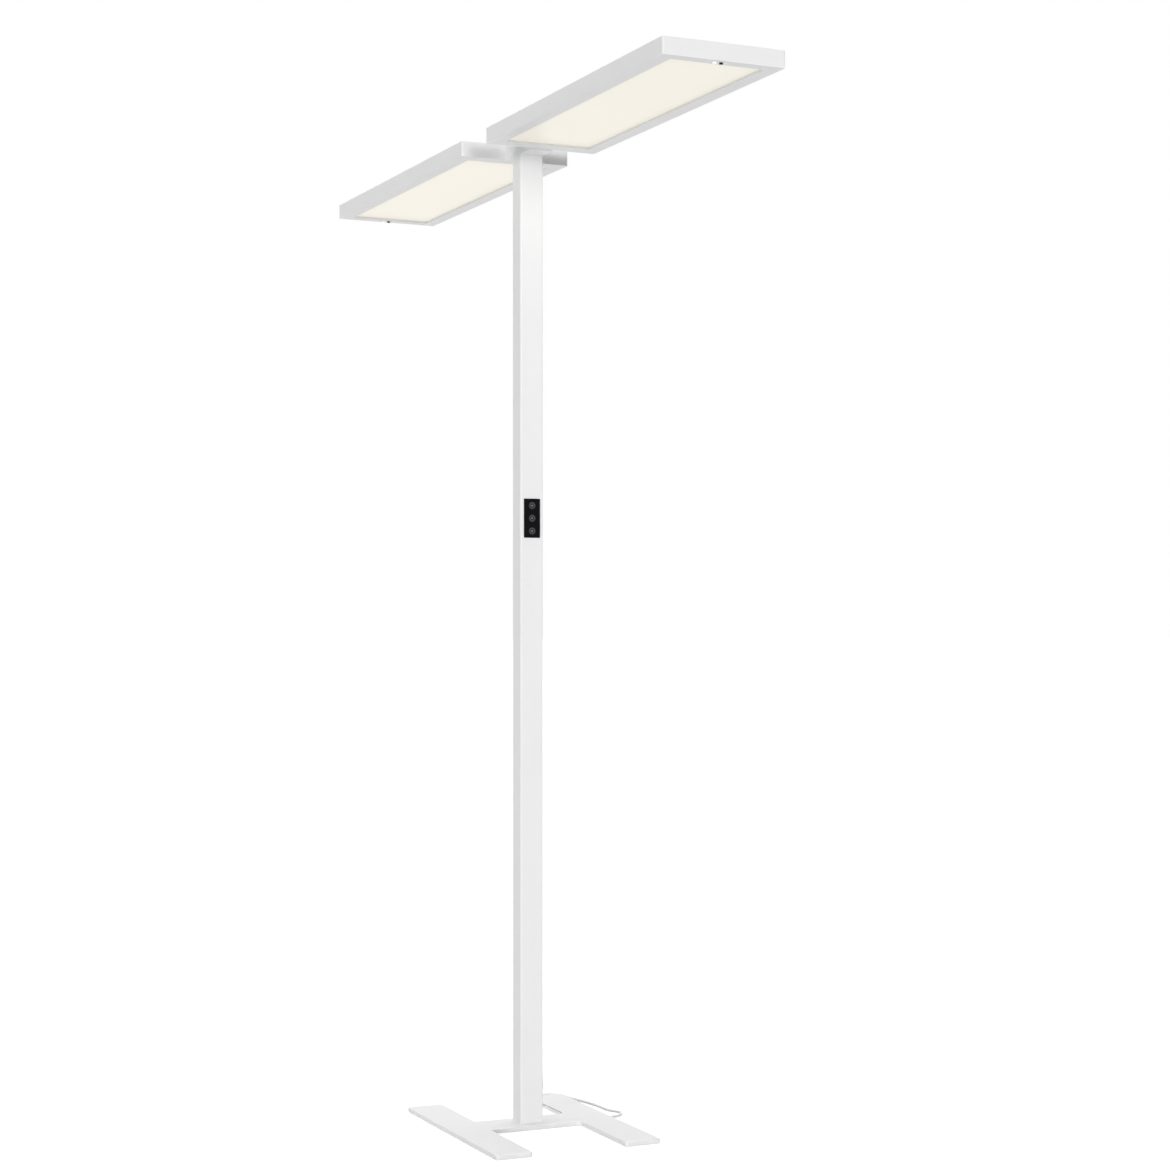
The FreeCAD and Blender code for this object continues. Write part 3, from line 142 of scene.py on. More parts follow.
def lay_lead(with_pieces):
    """One lead from the strain relief, under the right foot and round it, to the hank and the plug."""
    route = [Vector(p) for p in LEAD_DROP]
    route += [Vector((x, y, HEIGHT_ON_FLOOR)) for x, y in LEAD_ON_FLOOR]
    route += [Vector(p) for p in LEAD_RISE]
    route += hank_points()
    route += [tail_place(*offsets) for offsets in LEAD_TAIL]
    line = bpy.data.curves.new("mains_lead", "CURVE")
    line.dimensions = "3D"
    # each point's radius is the lead's own
    line.bevel_depth = 1
    line.bevel_resolution = 4
    line.use_fill_caps = True
    spline = line.splines.new("NURBS")
    spline.points.add(len(route) - 1)
    for point, place in zip(spline.points, route):
        point.co = (*place, 1)
        point.radius = LEAD_RADIUS
    spline.order_u = 3
    spline.use_endpoint_u = True
    spline.resolution_u = 6
    lead = bpy.data.objects.new("laid_mains_lead", line)
    bpy.context.scene.collection.objects.link(lead)
    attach(lead, "lamp")
    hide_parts("mains_lead", "mains_lead_hank", "mains_lead_tail")
    return lead


# ---------------------------------------------------------------- shaping
SMOOTH_ANGLE = 40


def ring_by_ring(name, rings, sides):
    """A round solid about the upright axis, drawn out of its first ring; rings are (radius, height)."""
    bpy.ops.object.select_all(action="DESELECT")
    (radius, height), *rest = rings
    bpy.ops.mesh.primitive_circle_add(vertices=sides, radius=radius, fill_type="NGON", location=(0, 0, 0))
    piece = bpy.context.object
    piece.name = name
    bpy.ops.object.mode_set(mode="EDIT")
    bpy.ops.mesh.select_all(action="SELECT")
    bpy.ops.transform.translate(value=(0, 0, height))
    for next_radius, next_height in rest:
        bpy.ops.mesh.extrude_region_move(TRANSFORM_OT_translate={"value": (0, 0, next_height - height)})
        bpy.ops.transform.resize(value=(next_radius / radius, next_radius / radius, 1))
        radius, height = next_radius, next_height
    bpy.ops.mesh.select_all(action="SELECT")
    bpy.ops.mesh.normals_make_consistent(inside=False)
    bpy.ops.object.mode_set(mode="OBJECT")
    return piece


def take_up(piece):
    """Makes the piece the only selected one."""
    bpy.ops.object.select_all(action="DESELECT")
    piece.select_set(True)
    bpy.context.view_layer.objects.active = piece


def shape_parts(piece, kind, parts, wanted):
    """Opens the piece in edit mode with only the wanted faces or edges selected."""
    take_up(piece)
    mesh = piece.data
    for part in (*mesh.vertices, *mesh.edges, *mesh.polygons):
        part.select = False
    for part in parts:
        part.select = wanted(part)
    bpy.context.tool_settings.mesh_select_mode = (False, kind == "EDGE", kind == "FACE")
    bpy.ops.object.mode_set(mode="EDIT")


def cut_away(piece, cutter):
    """Takes the cutter's shape out of the piece."""
    take_up(piece)
    hollow = piece.modifiers.new("hollow", "BOOLEAN")
    hollow.operation = "DIFFERENCE"
    hollow.solver = "EXACT"
    hollow.object = cutter
    bpy.ops.object.modifier_apply(modifier=hollow.name)
    bpy.data.objects.remove(cutter)


def round_edges(piece, width, segments=2, angle=SMOOTH_ANGLE):
    """Rounds every edge sharper than the angle, then shades the piece smooth up to it."""
    take_up(piece)
    rounding = piece.modifiers.new("rounding", "BEVEL")
    rounding.width = width
    rounding.segments = segments
    rounding.limit_method = "ANGLE"
    rounding.angle_limit = math.radians(angle)
    bpy.ops.object.modifier_apply(modifier=rounding.name)
    bpy.ops.object.shade_smooth_by_angle(angle=math.radians(angle))


def settle(piece, placement):
    """Puts the piece in its place and keeps that place in its mesh."""
    take_up(piece)
    piece.matrix_world = placement
    bpy.ops.object.transform_apply(location=True, rotation=True, scale=True)
    return piece


def repeat(model, placements, name):
    """Copies of the model at the placements, joined into one piece; the model itself goes."""
    copies = []
    for placement in placements:
        copy = model.copy()
        copy.data = model.data.copy()
        bpy.context.scene.collection.objects.link(copy)
        copies.append(settle(copy, placement))
    bpy.data.objects.remove(model)
    return join(copies, name)


def join(pieces, name):
    """The pieces as one object."""
    bpy.ops.object.select_all(action="DESELECT")
    for piece in pieces:
        piece.select_set(True)
    bpy.context.view_layer.objects.active = pieces[0]
    if len(pieces) > 1:
        bpy.ops.object.join()
    pieces[0].name = name
    return pieces[0]


def block(name, size, centre):
    """A box to be shaped or cut with."""
    bpy.ops.object.select_all(action="DESELECT")
    bpy.ops.mesh.primitive_cube_add(size=1, location=centre, scale=size)
    made = bpy.context.object
    made.name = name
    bpy.ops.object.transform_apply(location=True, rotation=True, scale=True)
    return made


def rod(sides, radius, length, centre):
    """An upright rod to cut with."""
    bpy.ops.object.select_all(action="DESELECT")
    bpy.ops.mesh.primitive_cylinder_add(vertices=sides, radius=radius, depth=length, location=centre)
    return bpy.context.object


def fit_in(piece, node, finish):
    """The piece stands for a node of the frame: it takes the given finish, joins the lamp body, and the
    node is hidden.
    """
    piece.data.materials.clear()
    piece.data.materials.append(finish)
    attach(piece, "lamp")
    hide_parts(node)
    return piece


# ---------------------------------------------------------------- screws and pads
SOCKET_CORNERS = 6
SCREW_SIDES = 32
SCREW_EDGE = 0.00012
TIP_SHARE = 0.75
TIP_TAPER = 0.3


def socket_screw(name, rings, across_flats, depth):
    """A turned screw, head up with the head's top at height 0, with a hexagonal socket."""
    screw = ring_by_ring(name, rings, SCREW_SIDES)
    corner = across_flats / 2 / math.cos(math.pi / SOCKET_CORNERS)
    cut_away(screw, rod(SOCKET_CORNERS, corner, 2 * depth, (0, 0, 0)))
    round_edges(screw, SCREW_EDGE, 1)
    return screw


def countersunk(name, radius, length, across_flats):
    """A flat head twice as wide as the shank, with a 90 degree seat."""
    head, land, socket_depth = 2 * radius, 0.0002, radius * 0.9
    rings = [
        (radius * TIP_SHARE, -length), (radius, radius * TIP_TAPER - length),
        (radius, -radius - land), (head, -land), (head, 0),
    ]
    return socket_screw(name, rings, across_flats, socket_depth)


def button_head(name, radius, length, head, height, across_flats):
    """A low domed head on a plain shank; its seat is the head's height below 0."""
    rim, socket_depth, dome_angles = height * 0.8, height * 0.75, (0.35, 0.7, 1.05, 1.3)
    dome = [(head * math.cos(angle), height * (math.sin(angle) - 1)) for angle in dome_angles]
    rings = [
        (radius * TIP_SHARE, -height - length), (radius, radius * TIP_TAPER - height - length),
        (radius, -height), (head, -height), (head, -rim), *dome,
    ]
    return socket_screw(name, rings, across_flats, socket_depth)


def facing(direction, place):
    """A placement with the model's upward axis turned to the direction."""
    return Matrix.Translation(place) @ Vector(direction).to_track_quat("Z", "Y").to_matrix().to_4x4()


def fit_screws(zinc):
    """Socket screws in the covers, under the base and in the column's rear wall."""
    cover_radius, cover_socket = 0.0015, 0.002
    for side in ("near", "far"):
        low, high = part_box(f"{side}_cover_screws")
        model = countersunk(f"{side}_screw_model", cover_radius, high.z - low.z, cover_socket)
        spots = corners(low, high, 2 * cover_radius)
        places = [facing((0, 0, 1), (x, y, high.z)) for x, y in spots]
        screws = repeat(model, places, f"{side}_socket_screws")
        fit_in(screws, f"{side}_cover_screws", zinc)
    base_radius, base_socket = 0.003, 0.004
    low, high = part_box("base_screws")
    model = countersunk("base_screw_model", base_radius, high.z - low.z, base_socket)
    places = [facing((0, 0, -1), (x, y, low.z)) for x, y in corners(low, high, 2 * base_radius)]
    fit_in(repeat(model, places, "base_socket_screws"), "base_screws", zinc)
    radius, head, height, socket = 0.0025, 0.0046, 0.0024, 0.003
    for name in ("spigot_screws", "bracket_screws"):
        low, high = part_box(name)
        model = button_head(f"{name}_model", radius, high.y - height - low.y, head, height, socket)
        places = [facing((0, 1, 0), (0, high.y, z)) for z in (low.z + head, high.z - head)]
        fit_in(repeat(model, places, f"button_{name}"), name, zinc)


def corners(low, high, inset):
    """The four places a given way inside a box, seen from above."""
    return [(x, y) for x in (low.x + inset, high.x - inset) for y in (low.y + inset, high.y - inset)]


def fit_pads(rubber):
    """Round rubber pads with a soft lower edge and a dished middle."""
    low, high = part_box("foot_pads")
    radius, thick = 0.010, high.z - low.z
    dish_depth, soft_edge, edge_rounding, sides = 0.0004, 0.0006, 0.00015, 48
    dish, tread_inside, tread_outside = radius * 0.7, radius * 0.74, radius * 0.93
    rings = [
        (dish, dish_depth), (tread_inside, 0), (tread_outside, 0), (radius, soft_edge), (radius, thick),
    ]
    model = ring_by_ring("pad_model", rings, sides)
    round_edges(model, edge_rounding)
    bar_pad = 0.048
    spots = corners(low, high, radius) + [(-bar_pad, 0), (bar_pad, 0)]
    pads = repeat(model, [Matrix.Translation((x, y, low.z)) for x, y in spots], "rubber_pads")
    fit_in(pads, "foot_pads", rubber)


# ---------------------------------------------------------------- strap and plug
def fit_strap(moulding):
    """A strap drawn round the hank's waist, with a buckle on top and a free end through it."""
    half_width, low, high, length, thick = 0.0274, 0.0008, 0.0131, 0.012, 0.0008
    corner, corner_steps, thin_edge = 0.0035, 6, 0.0002
    band = block("hank_strap", (2 * half_width, length, high - low), (0, 0, (low + high) / 2))
    shape_parts(band, "FACE", band.data.polygons, lambda face: abs(face.normal.y) > 0.5)
    bpy.ops.mesh.delete(type="ONLY_FACE")
    bpy.ops.object.mode_set(mode="OBJECT")
    places = band.data.vertices

    def runs_along(edge):
        first, last = (places[k].co for k in edge.vertices)
        return abs(first.y - last.y) > length / 2

    shape_parts(band, "EDGE", band.data.edges, runs_along)
    bpy.ops.mesh.bevel(offset=corner, segments=corner_steps)
    bpy.ops.object.mode_set(mode="OBJECT")
    wall = band.modifiers.new("wall", "SOLIDIFY")
    wall.thickness = thick
    wall.offset = 1
    bpy.ops.object.modifier_apply(modifier=wall.name)
    round_edges(band, thin_edge)

    buckle_size, buckle_x, buckle_edge = (0.009, 0.0152, 0.0046), 0.006, 0.0005
    slot_size = (0.02, length + 0.0006, 0.0012)
    buckle_z, slot_z = high + thick + 0.0015, high + thick + 0.0016
    buckle = block("buckle", buckle_size, (buckle_x, 0, buckle_z))
    cut_away(buckle, block("buckle_slot", slot_size, (buckle_x, 0, slot_z)))
    round_edges(buckle, buckle_edge, 3)

    end_length, end_x, tip_step, tip_share = 0.026, -0.001, (-0.005, 0, -0.0004), 0.6
    free_end = block("free_end", (end_length, length, thick), (end_x, 0, slot_z))
    shape_parts(free_end, "FACE", free_end.data.polygons, lambda face: face.normal.x < -0.5)
    bpy.ops.mesh.extrude_region_move(TRANSFORM_OT_translate={"value": tip_step})
    bpy.ops.transform.resize(value=(1, tip_share, 1))
    bpy.ops.object.mode_set(mode="OBJECT")
    round_edges(free_end, thin_edge)

    strap = join([band, buckle, free_end], "hank_strap")
    turned = Matrix((HANK_SIDE, HANK_AXIS, Vector((0, 0, 1)))).transposed().to_4x4()
    settle(strap, Matrix.Translation(hank_place(HANK_RUN / 2, 0, 0)) @ turned)
    return fit_in(strap, "lead_tie", moulding)


PLUG_SIDES = 64
PLUG_RADIUS = 0.0185
PLUG_FACE = 0.064
GRIP_RADIUS = 0.0120
GRIP_LOW = 0.0310
GRIP_HIGH = 0.0430
PIN_SIDES = 32
PIN_RADIUS = 0.0024
PIN_PITCH = 0.019
PIN_LENGTH = 0.019


def plug_rings():
    """Ribbed boot, grip, flare and face, as (radius, height)."""
    ribs, rib_pitch, first, last = 5, 0.005, 0.0042, 0.0062
    rib_swell, groove_depth, rib_top, groove_low, groove_high = 0.0002, 0.0006, 0.003, 0.0032, 0.0048
    boot = []
    for k in range(ribs):
        radius = first + (last - first) * k / ribs
        foot = k * rib_pitch
        boot += [(radius, foot), (radius + rib_swell, foot + rib_top)]
        boot += [(radius - groove_depth, foot + groove_low), (radius - groove_depth, foot + groove_high)]
    shoulder = [(0.0062, 0.0252), (0.0064, 0.0262), (0.0098, 0.0278), (0.0118, 0.0300)]
    grip = [(GRIP_RADIUS, GRIP_LOW), (GRIP_RADIUS, GRIP_HIGH)]
    flare = [(0.0128, 0.0450), (0.0158, 0.0490), (0.0181, 0.0512), (PLUG_RADIUS, 0.0530)]
    rim = [(PLUG_RADIUS, 0.0628), (0.0181, 0.0637), (0.0174, PLUG_FACE)]
    face = [(0.0150, PLUG_FACE), (0.0148, 0.0634)]
    return boot + shoulder + grip + flare + rim + face


def fit_plug(moulding, metal):
    """A straight round plug with finger ridges, side notches with earth clips, and two round pins."""
    plug = ring_by_ring("round_plug", plug_rings(), PLUG_SIDES)

    def ridge(face):
        turn = math.atan2(face.center.y, face.center.x) / (2 * math.pi) * PLUG_SIDES
        return GRIP_LOW < face.center.z < GRIP_HIGH and math.floor(turn) % 2 == 0

    ridge_edge, ridge_height = 0.0002, 0.0004
    shape_parts(plug, "FACE", plug.data.polygons, ridge)
    bpy.ops.mesh.inset(thickness=ridge_edge, depth=ridge_height, use_individual=True)
    bpy.ops.object.mode_set(mode="OBJECT")

    notch_size, notch_floor, notch_z = (0.0085, 0.005, 0.0125), 0.0163, 0.0608
    for side in (-1, 1):
        notch_y = notch_floor + notch_size[1] / 2
        cut_away(plug, block("notch", notch_size, (0, side * notch_y, notch_z)))
    hole_radius, hole_reach, hole_y = 0.0026, 0.02, 0.0105
    cut_away(plug, rod(PIN_SIDES, hole_radius, hole_reach, (0, hole_y, PLUG_FACE)))
    plug_edge, edge_steps, sharp_angle = 0.0002, 2, 35
    round_edges(plug, plug_edge, edge_steps, sharp_angle)

    pin_foot, pin_end = 0.058, PLUG_FACE + PIN_LENGTH
    clip_size, clip_y, clip_z, clip_edge = (0.0046, 0.0008, 0.0086), notch_floor + 0.0002, 0.0588, 0.0003
    contacts = []
    for side in (-1, 1):
        pin_rings = [
            (PIN_RADIUS, pin_foot), (PIN_RADIUS, pin_end - 0.0022),
            (0.0022, pin_end - 0.0011), (0.0016, pin_end - 0.0003), (0.0008, pin_end),
        ]
        pin = ring_by_ring("pin", pin_rings, PIN_SIDES)
        bpy.ops.object.shade_smooth_by_angle(angle=math.radians(SMOOTH_ANGLE))
        contacts.append(settle(pin, Matrix.Translation((side * PIN_PITCH / 2, 0, 0))))
        clip = block("earth_clip", clip_size, (0, side * clip_y, clip_z))
        round_edges(clip, clip_edge, 3)
        contacts.append(clip)
    contacts = join(contacts, "plug_contacts")

    lying = Matrix((HANK_SIDE, Vector((0, 0, -1)), HANK_AXIS)).transposed().to_4x4()
    placement = Matrix.Translation(tail_place(*LEAD_TAIL[-1])) @ lying
    for piece, node, slot, finish in (
        (plug, "plug", "plug_white", moulding), (contacts, "plug_pins", "pin_metal", metal),
    ):
        fit_in(settle(piece, placement), node, finish)
    return plug, contacts


# ---------------------------------------------------------------- finishes
KEYPAD_BLACK = (0.004, 0.004, 0.005)
OPAL = (0.88, 0.85, 0.76)
SHADED_OPAL = (0.86, 0.83, 0.74)
WARM_LIGHT = (1.0, 0.92, 0.75)
# glow colour: the pilot's own light, and painted light on the sensor lens
PILOT_LIGHT_AND_PAINTED_LENS_GLOW = (1, 1, 0.97)


def new_finish(name, colour, roughness, metallic=0.0):
    """A new material, with its node tree and its shader, for the functions below to work on."""
    material = bpy.data.materials.new(name)
    material.use_nodes = True
    tree = material.node_tree
    shader = tree.nodes["Principled BSDF"]
    shader.inputs["Base Color"].default_value = (*colour, 1)
    shader.inputs["Roughness"].default_value = roughness
    shader.inputs["Metallic"].default_value = metallic
    return material, tree, shader


def add_node(tree, kind, **settings):
    """A new node; each setting goes to the socket of that name or else to the node itself."""
    node = tree.nodes.new(kind)
    for name, value in settings.items():
        if name in node.inputs:
            node.inputs[name].default_value = value
        else:
            setattr(node, name, value)
    return node


def object_noise(tree, scale, detail=2.0, stretch=(1, 1, 1)):
    """Noise fixed to the piece; scale is in features per metre."""
    place = add_node(tree, "ShaderNodeTexCoord")
    shape = add_node(tree, "ShaderNodeMapping", Scale=stretch)
    noise = add_node(tree, "ShaderNodeTexNoise", Scale=scale, Detail=detail)
    tree.links.new(place.outputs["Object"], shape.inputs["Vector"])
    tree.links.new(shape.outputs["Vector"], noise.inputs["Vector"])
    return noise


def vary_colour(tree, shader, noise, low, high):
    """The base colour wanders between two close colours."""
    ramp = add_node(tree, "ShaderNodeValToRGB")
    ramp.color_ramp.elements[0].position = 0.3
    ramp.color_ramp.elements[0].color = (*low, 1)
    ramp.color_ramp.elements[1].position = 0.7
    ramp.color_ramp.elements[1].color = (*high, 1)
    tree.links.new(noise.outputs["Fac"], ramp.inputs["Fac"])
    tree.links.new(ramp.outputs["Color"], shader.inputs["Base Color"])


def vary_roughness(tree, shader, noise, low, high):
    """The roughness wanders between two values."""
    spread = add_node(tree, "ShaderNodeMapRange")
    spread.inputs["To Min"].default_value = low
    spread.inputs["To Max"].default_value = high
    tree.links.new(noise.outputs["Fac"], spread.inputs["Value"])
    tree.links.new(spread.outputs["Result"], shader.inputs["Roughness"])


def raise_grain(tree, shader, noise, strength, depth):
    """Fine relief of a real depth in metres."""
    bump = add_node(tree, "ShaderNodeBump", Strength=strength, Distance=depth)
    tree.links.new(noise.outputs["Fac"], bump.inputs["Height"])
    tree.links.new(bump.outputs["Normal"], shader.inputs["Normal"])


def powder_coat(name, colour):
    """Satin white powder coat: a faint orange peel and slow changes of tone."""
    material, tree, shader = new_finish(name, colour, 0.42)
    darker = tuple(c * 0.985 for c in colour)
    vary_colour(tree, shader, object_noise(tree, 9), darker, colour)
    vary_roughness(tree, shader, object_noise(tree, 60), 0.38, 0.5)
    raise_grain(tree, shader, object_noise(tree, 900, 3), 0.4, 0.00009)
    shader.inputs["Specular IOR Level"].default_value = 0.4
    return material


def moulded_plastic(name, colour, roughness=0.5, grain=1400, gloss=0.5):
    """Moulded plastic with a fine spark-eroded grain."""
    material, tree, shader = new_finish(name, colour, roughness)
    darker = tuple(c * 0.94 for c in colour)
    vary_colour(tree, shader, object_noise(tree, 40), darker, colour)
    vary_roughness(tree, shader, object_noise(tree, 200), roughness * 0.9, roughness * 1.12)
    raise_grain(tree, shader, object_noise(tree, grain, 3), 0.3, 0.00005)
    shader.inputs["Specular IOR Level"].default_value = gloss
    return material


def lead_sheath(name, colour, translucence=0.0):
    """A soft sheath with a faint grain and a dull gloss, which lets a little light through."""
    material, tree, shader = new_finish(name, colour, 0.45)
    darker = tuple(c * 0.93 for c in colour)
    vary_colour(tree, shader, object_noise(tree, 25), darker, colour)
    vary_roughness(tree, shader, object_noise(tree, 150), 0.38, 0.52)
    raise_grain(tree, shader, object_noise(tree, 700, 2), 0.2, 0.00006)
    shader.inputs["Subsurface Weight"].default_value = translucence
    shader.inputs["Subsurface Radius"].default_value = (1, 1, 1)
    shader.inputs["Subsurface Scale"].default_value = 0.003
    return material


def bare_metal(name, colour, roughness, stretch=(1, 1, 1)):
    """Plated or raw metal with fine scratches."""
    material, tree, shader = new_finish(name, colour, roughness, 1.0)
    darker = tuple(c * 0.88 for c in colour)
    vary_colour(tree, shader, object_noise(tree, 120, 4, stretch), darker, colour)
    vary_roughness(tree, shader, object_noise(tree, 500, 4, stretch), roughness * 0.8, roughness * 1.25)
    raise_grain(tree, shader, object_noise(tree, 1500, 3, stretch), 0.15, 0.00003)
    return material


def opal_diffuser():
    """Lit opal sheet: warm white, with a fine prismatic texture on its face."""
    material, tree, shader = new_finish("opal_diffuser", OPAL, 0.35)
    vary_colour(tree, shader, object_noise(tree, 6), SHADED_OPAL, OPAL)
    place = add_node(tree, "ShaderNodeTexCoord")
    prisms = add_node(tree, "ShaderNodeTexVoronoi", Scale=420.0)
    prisms.feature = "F1"
    tree.links.new(place.outputs["Object"], prisms.inputs["Vector"])
    bump = add_node(tree, "ShaderNodeBump", Strength=0.35, Distance=0.0002)
    tree.links.new(prisms.outputs["Distance"], bump.inputs["Height"])
    tree.links.new(bump.outputs["Normal"], shader.inputs["Normal"])
    shader.inputs["Emission Color"].default_value = (*WARM_LIGHT, 1)
    shader.inputs["Emission Strength"].default_value = 0.2
    shader.inputs["Specular IOR Level"].default_value = 0.3
    return material


def marked_key(name, height):
    """A black key with a broad printed grey ring and a paler dot about its centre."""
    bare, ring, dot = (*KEYPAD_BLACK, 1), (0.07, 0.07, 0.074, 1), (0.24, 0.24, 0.245, 1)
    # the marks' edges, as shares of the reach of the colours from the key's centre
    colour_reach = 0.010
    dot_edge, ring_inside, ring_outside, ring_end, blur = 0.15, 0.38, 0.65, 0.7, 0.04
    material, tree, shader = new_finish(name, KEYPAD_BLACK, 0.5)
    place = add_node(tree, "ShaderNodeTexCoord")
    centre = add_node(tree, "ShaderNodeMapping", Location=(0, 0, -height), Scale=(1, 0, 1))
    reach = add_node(tree, "ShaderNodeVectorMath", operation="LENGTH")
    scale = add_node(tree, "ShaderNodeMath", operation="MULTIPLY")
    scale.inputs[1].default_value = 1 / colour_reach
    ramp = add_node(tree, "ShaderNodeValToRGB")
    marks = ramp.color_ramp.elements
    marks[0].color = dot
    marks[1].position = ring_end
    marks[1].color = bare
    for position, colour in (
        (dot_edge, dot), (dot_edge + blur, bare),
        (ring_inside - blur, bare), (ring_inside, ring), (ring_outside, ring),
    ):
        marks.new(position).color = colour
    tree.links.new(place.outputs["Object"], centre.inputs["Vector"])
    tree.links.new(centre.outputs["Vector"], reach.inputs[0])
    tree.links.new(reach.outputs["Value"], scale.inputs[0])
    tree.links.new(scale.outputs["Value"], ramp.inputs["Fac"])
    tree.links.new(ramp.outputs["Color"], shader.inputs["Base Color"])
    raise_grain(tree, shader, object_noise(tree, 1400, 3), 0.2, 0.00004)
    shader.inputs["Specular IOR Level"].default_value = 0.04
    return material


def glossy_window(name, colour, roughness=0.12, glow=0.0):
    """Polished plastic with slow changes of tone; glow is light from its face: the pilot's own light, and
    painted light on the sensor lens, which has no lamp behind it.
    """
    material, tree, shader = new_finish(name, colour, roughness)
    vary_colour(tree, shader, object_noise(tree, 300), tuple(c * 0.85 for c in colour), colour)
    shader.inputs["Specular IOR Level"].default_value = 0.3
    shader.inputs["Emission Color"].default_value = (*PILOT_LIGHT_AND_PAINTED_LENS_GLOW, 1)
    shader.inputs["Emission Strength"].default_value = glow
    return material


def give_finish(material, *names):
    """The nodes of these names take the material."""
    for name in names:
        for slot in nodes[name].material_slots:
            slot.material = material


def both(*parts):
    """The names of these parts in each of the two heads."""
    return [f"{side}_{part}" for side in ("near", "far") for part in parts]


def finish_nodes(zinc, white):
    """Every node that keeps its own solid gets its finish."""
    paint = powder_coat("column_powder_coat", (0.86, 0.86, 0.865))
    head_paint = powder_coat("head_powder_coat", (0.84, 0.84, 0.845))
    give_finish(paint, "base_plate", "column", "arm", "arm_lid")
    give_finish(head_paint, *both("frame", "cover"))
    give_finish(opal_diffuser(), *both("diffuser"))
    black = moulded_plastic("keypad_black", KEYPAD_BLACK, 0.5, gloss=0.04)
    give_finish(black, "keypad_fascia", "keypad_housing", "keypad_switches")
    for key in ("key_upper", "key_middle", "key_lower"):
        low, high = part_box(key)
        give_finish(marked_key(f"{key}_mark", (low.z + high.z) / 2), key)
    give_finish(zinc, "relief_nut", "arm_bolts", *both("arm_screws"))
    steel = bare_metal("raw_steel", (0.42, 0.42, 0.43), 0.45, stretch=(1, 1, 6))
    give_finish(steel, "column_spigot", "driver_bracket", *both("arm_plate"))
    cast = bare_metal("cast_block", (0.55, 0.55, 0.57), 0.5)
    give_finish(cast, "arm_spigot", *both("corner_blocks"))
    give_finish(moulded_plastic("white_enamel", (0.88, 0.88, 0.88), 0.55), *both("reflector"))
    give_finish(moulded_plastic("white_board", (0.8, 0.8, 0.77), 0.4), *both("led_strips"))
    green = moulded_plastic("green_board", (0.03, 0.14, 0.05), 0.35)
    give_finish(green, "keypad_board", *both("sensor_module"))
    give_finish(white, "led_driver", "terminal_block", "strain_relief")
    sheath = lead_sheath("inner_sheath", (0.05, 0.05, 0.05))
    give_finish(sheath, "supply_lead", "output_lead", *both("head_lead"))
    give_finish(glossy_window("sensor_black", (0.006, 0.006, 0.007)), *both("sensor_window"))
    # the sensor lens has no lamp behind it: its glow is painted light that whitens it
    give_finish(glossy_window("sensor_lens_painted_glow", (0.92, 0.92, 0.9), 0.3, glow=0.25), *both("sensor_lens"))
    give_finish(glossy_window("pilot_clear", (0.85, 0.87, 0.85), 0.2, glow=0.3), *both("pilot_light"))


# ---------------------------------------------------------------- floor and light
FLOOR_SIZE = 400
FLOOR_GLOW = 0.6
ROOM_LIGHT = 0.07


def lay_floor():
    """A plain white floor that keeps the lamp's shadow."""
    bpy.ops.mesh.primitive_plane_add(size=FLOOR_SIZE, location=(0, 0, 0))
    floor = bpy.context.object
    floor.name = "studio_floor"
    material, tree, shader = new_finish("studio_white", (0.7, 0.7, 0.7), 0.9)
    shader.inputs["Specular IOR Level"].default_value = 0.0
    path = add_node(tree, "ShaderNodeLightPath")
    seen = add_node(tree, "ShaderNodeMath", operation="MAXIMUM")
    lift = add_node(tree, "ShaderNodeMath", operation="MULTIPLY")
    lift.inputs[1].default_value = FLOOR_GLOW
    glow = add_node(tree, "ShaderNodeEmission")
    lit_and_glowing = add_node(tree, "ShaderNodeAddShader")
    tree.links.new(path.outputs["Is Camera Ray"], seen.inputs[0])
    tree.links.new(path.outputs["Is Glossy Ray"], seen.inputs[1])
    tree.links.new(seen.outputs["Value"], lift.inputs[0])
    tree.links.new(lift.outputs["Value"], glow.inputs["Strength"])
    tree.links.new(shader.outputs["BSDF"], lit_and_glowing.inputs[0])
    tree.links.new(glow.outputs["Emission"], lit_and_glowing.inputs[1])
    tree.links.new(lit_and_glowing.outputs["Shader"], tree.nodes["Material Output"].inputs["Surface"])
    floor.data.materials.append(material)


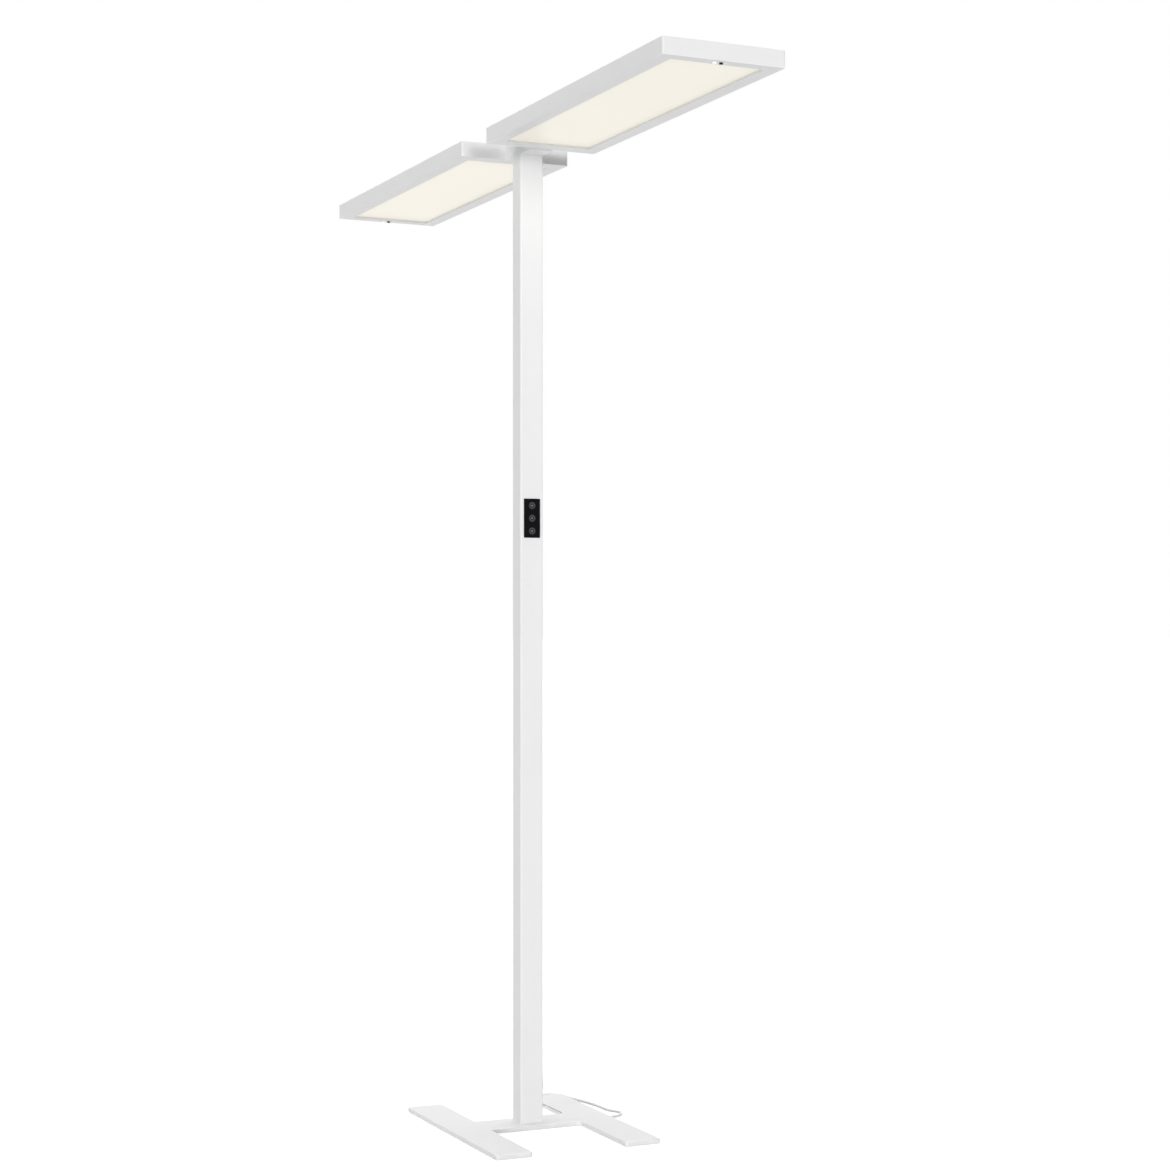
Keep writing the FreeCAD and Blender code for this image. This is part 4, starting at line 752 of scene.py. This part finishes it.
def light_room():
    """Faint room light, white where it is seen, two level lamps in front and a broad one overhead."""
    world = bpy.data.worlds.new("studio_light")
    bpy.context.scene.world = world
    world.use_nodes = True
    tree = world.node_tree
    ambient = tree.nodes["Background"]
    ambient.inputs["Color"].default_value = (1, 1, 1, 1)
    ambient.inputs["Strength"].default_value = ROOM_LIGHT
    backdrop = add_node(tree, "ShaderNodeBackground", Strength=1.0)
    backdrop.inputs["Color"].default_value = (1, 1, 1, 1)
    path = add_node(tree, "ShaderNodeLightPath")
    seen = add_node(tree, "ShaderNodeMath", operation="MAXIMUM")
    seen_through = add_node(tree, "ShaderNodeMath", operation="MAXIMUM")
    mix = add_node(tree, "ShaderNodeMixShader")
    tree.links.new(path.outputs["Is Camera Ray"], seen.inputs[0])
    tree.links.new(path.outputs["Is Glossy Ray"], seen.inputs[1])
    tree.links.new(seen.outputs["Value"], seen_through.inputs[0])
    tree.links.new(path.outputs["Is Transmission Ray"], seen_through.inputs[1])
    tree.links.new(seen_through.outputs["Value"], mix.inputs["Fac"])
    tree.links.new(ambient.outputs["Background"], mix.inputs[1])
    tree.links.new(backdrop.outputs["Background"], mix.inputs[2])
    tree.links.new(mix.outputs["Shader"], tree.nodes["World Output"].inputs["Surface"])
    hang_lamp("side_lamp", energy=1.25, spread=14, towards=(-0.75, -0.65, 0.07))
    hang_lamp("front_lamp", energy=1.4, spread=14, towards=(-0.12, -0.99, 0.05))
    hang_lamp("overhead_lamp", energy=2.75, spread=60, towards=(0.03, 0.2, 0.97))


def hang_lamp(name, energy, spread, towards):
    """A lamp so far away that its light doesn't fall off; towards points from the object to it."""
    lamp = bpy.data.lights.new(name, "SUN")
    lamp.energy = energy
    lamp.angle = math.radians(spread)
    holder = bpy.data.objects.new(name, lamp)
    holder.rotation_euler = Vector(towards).to_track_quat("Z", "Y").to_euler()
    bpy.context.scene.collection.objects.link(holder)


set_camera()
zinc = bare_metal("zinc_plate", (0.62, 0.62, 0.63), 0.35)
nickel = bare_metal("nickel_pin", (0.7, 0.69, 0.65), 0.25)
rubber = moulded_plastic("pad_rubber", (0.03, 0.03, 0.03), 0.8, grain=600)
white = moulded_plastic("white_moulding", (0.8, 0.8, 0.79), 0.48)
lead = lay_lead([fit_strap(white), *fit_plug(white, nickel)])
lead.data.materials.append(lead_sheath("lead_white_sheath", (0.95, 0.95, 0.945), translucence=0.7))
fit_screws(zinc)
fit_pads(rubber)
finish_nodes(zinc, white)
lay_floor()
light_room()
bpy.context.scene.view_settings.view_transform = "Standard"

bpy.context.view_layer.update()
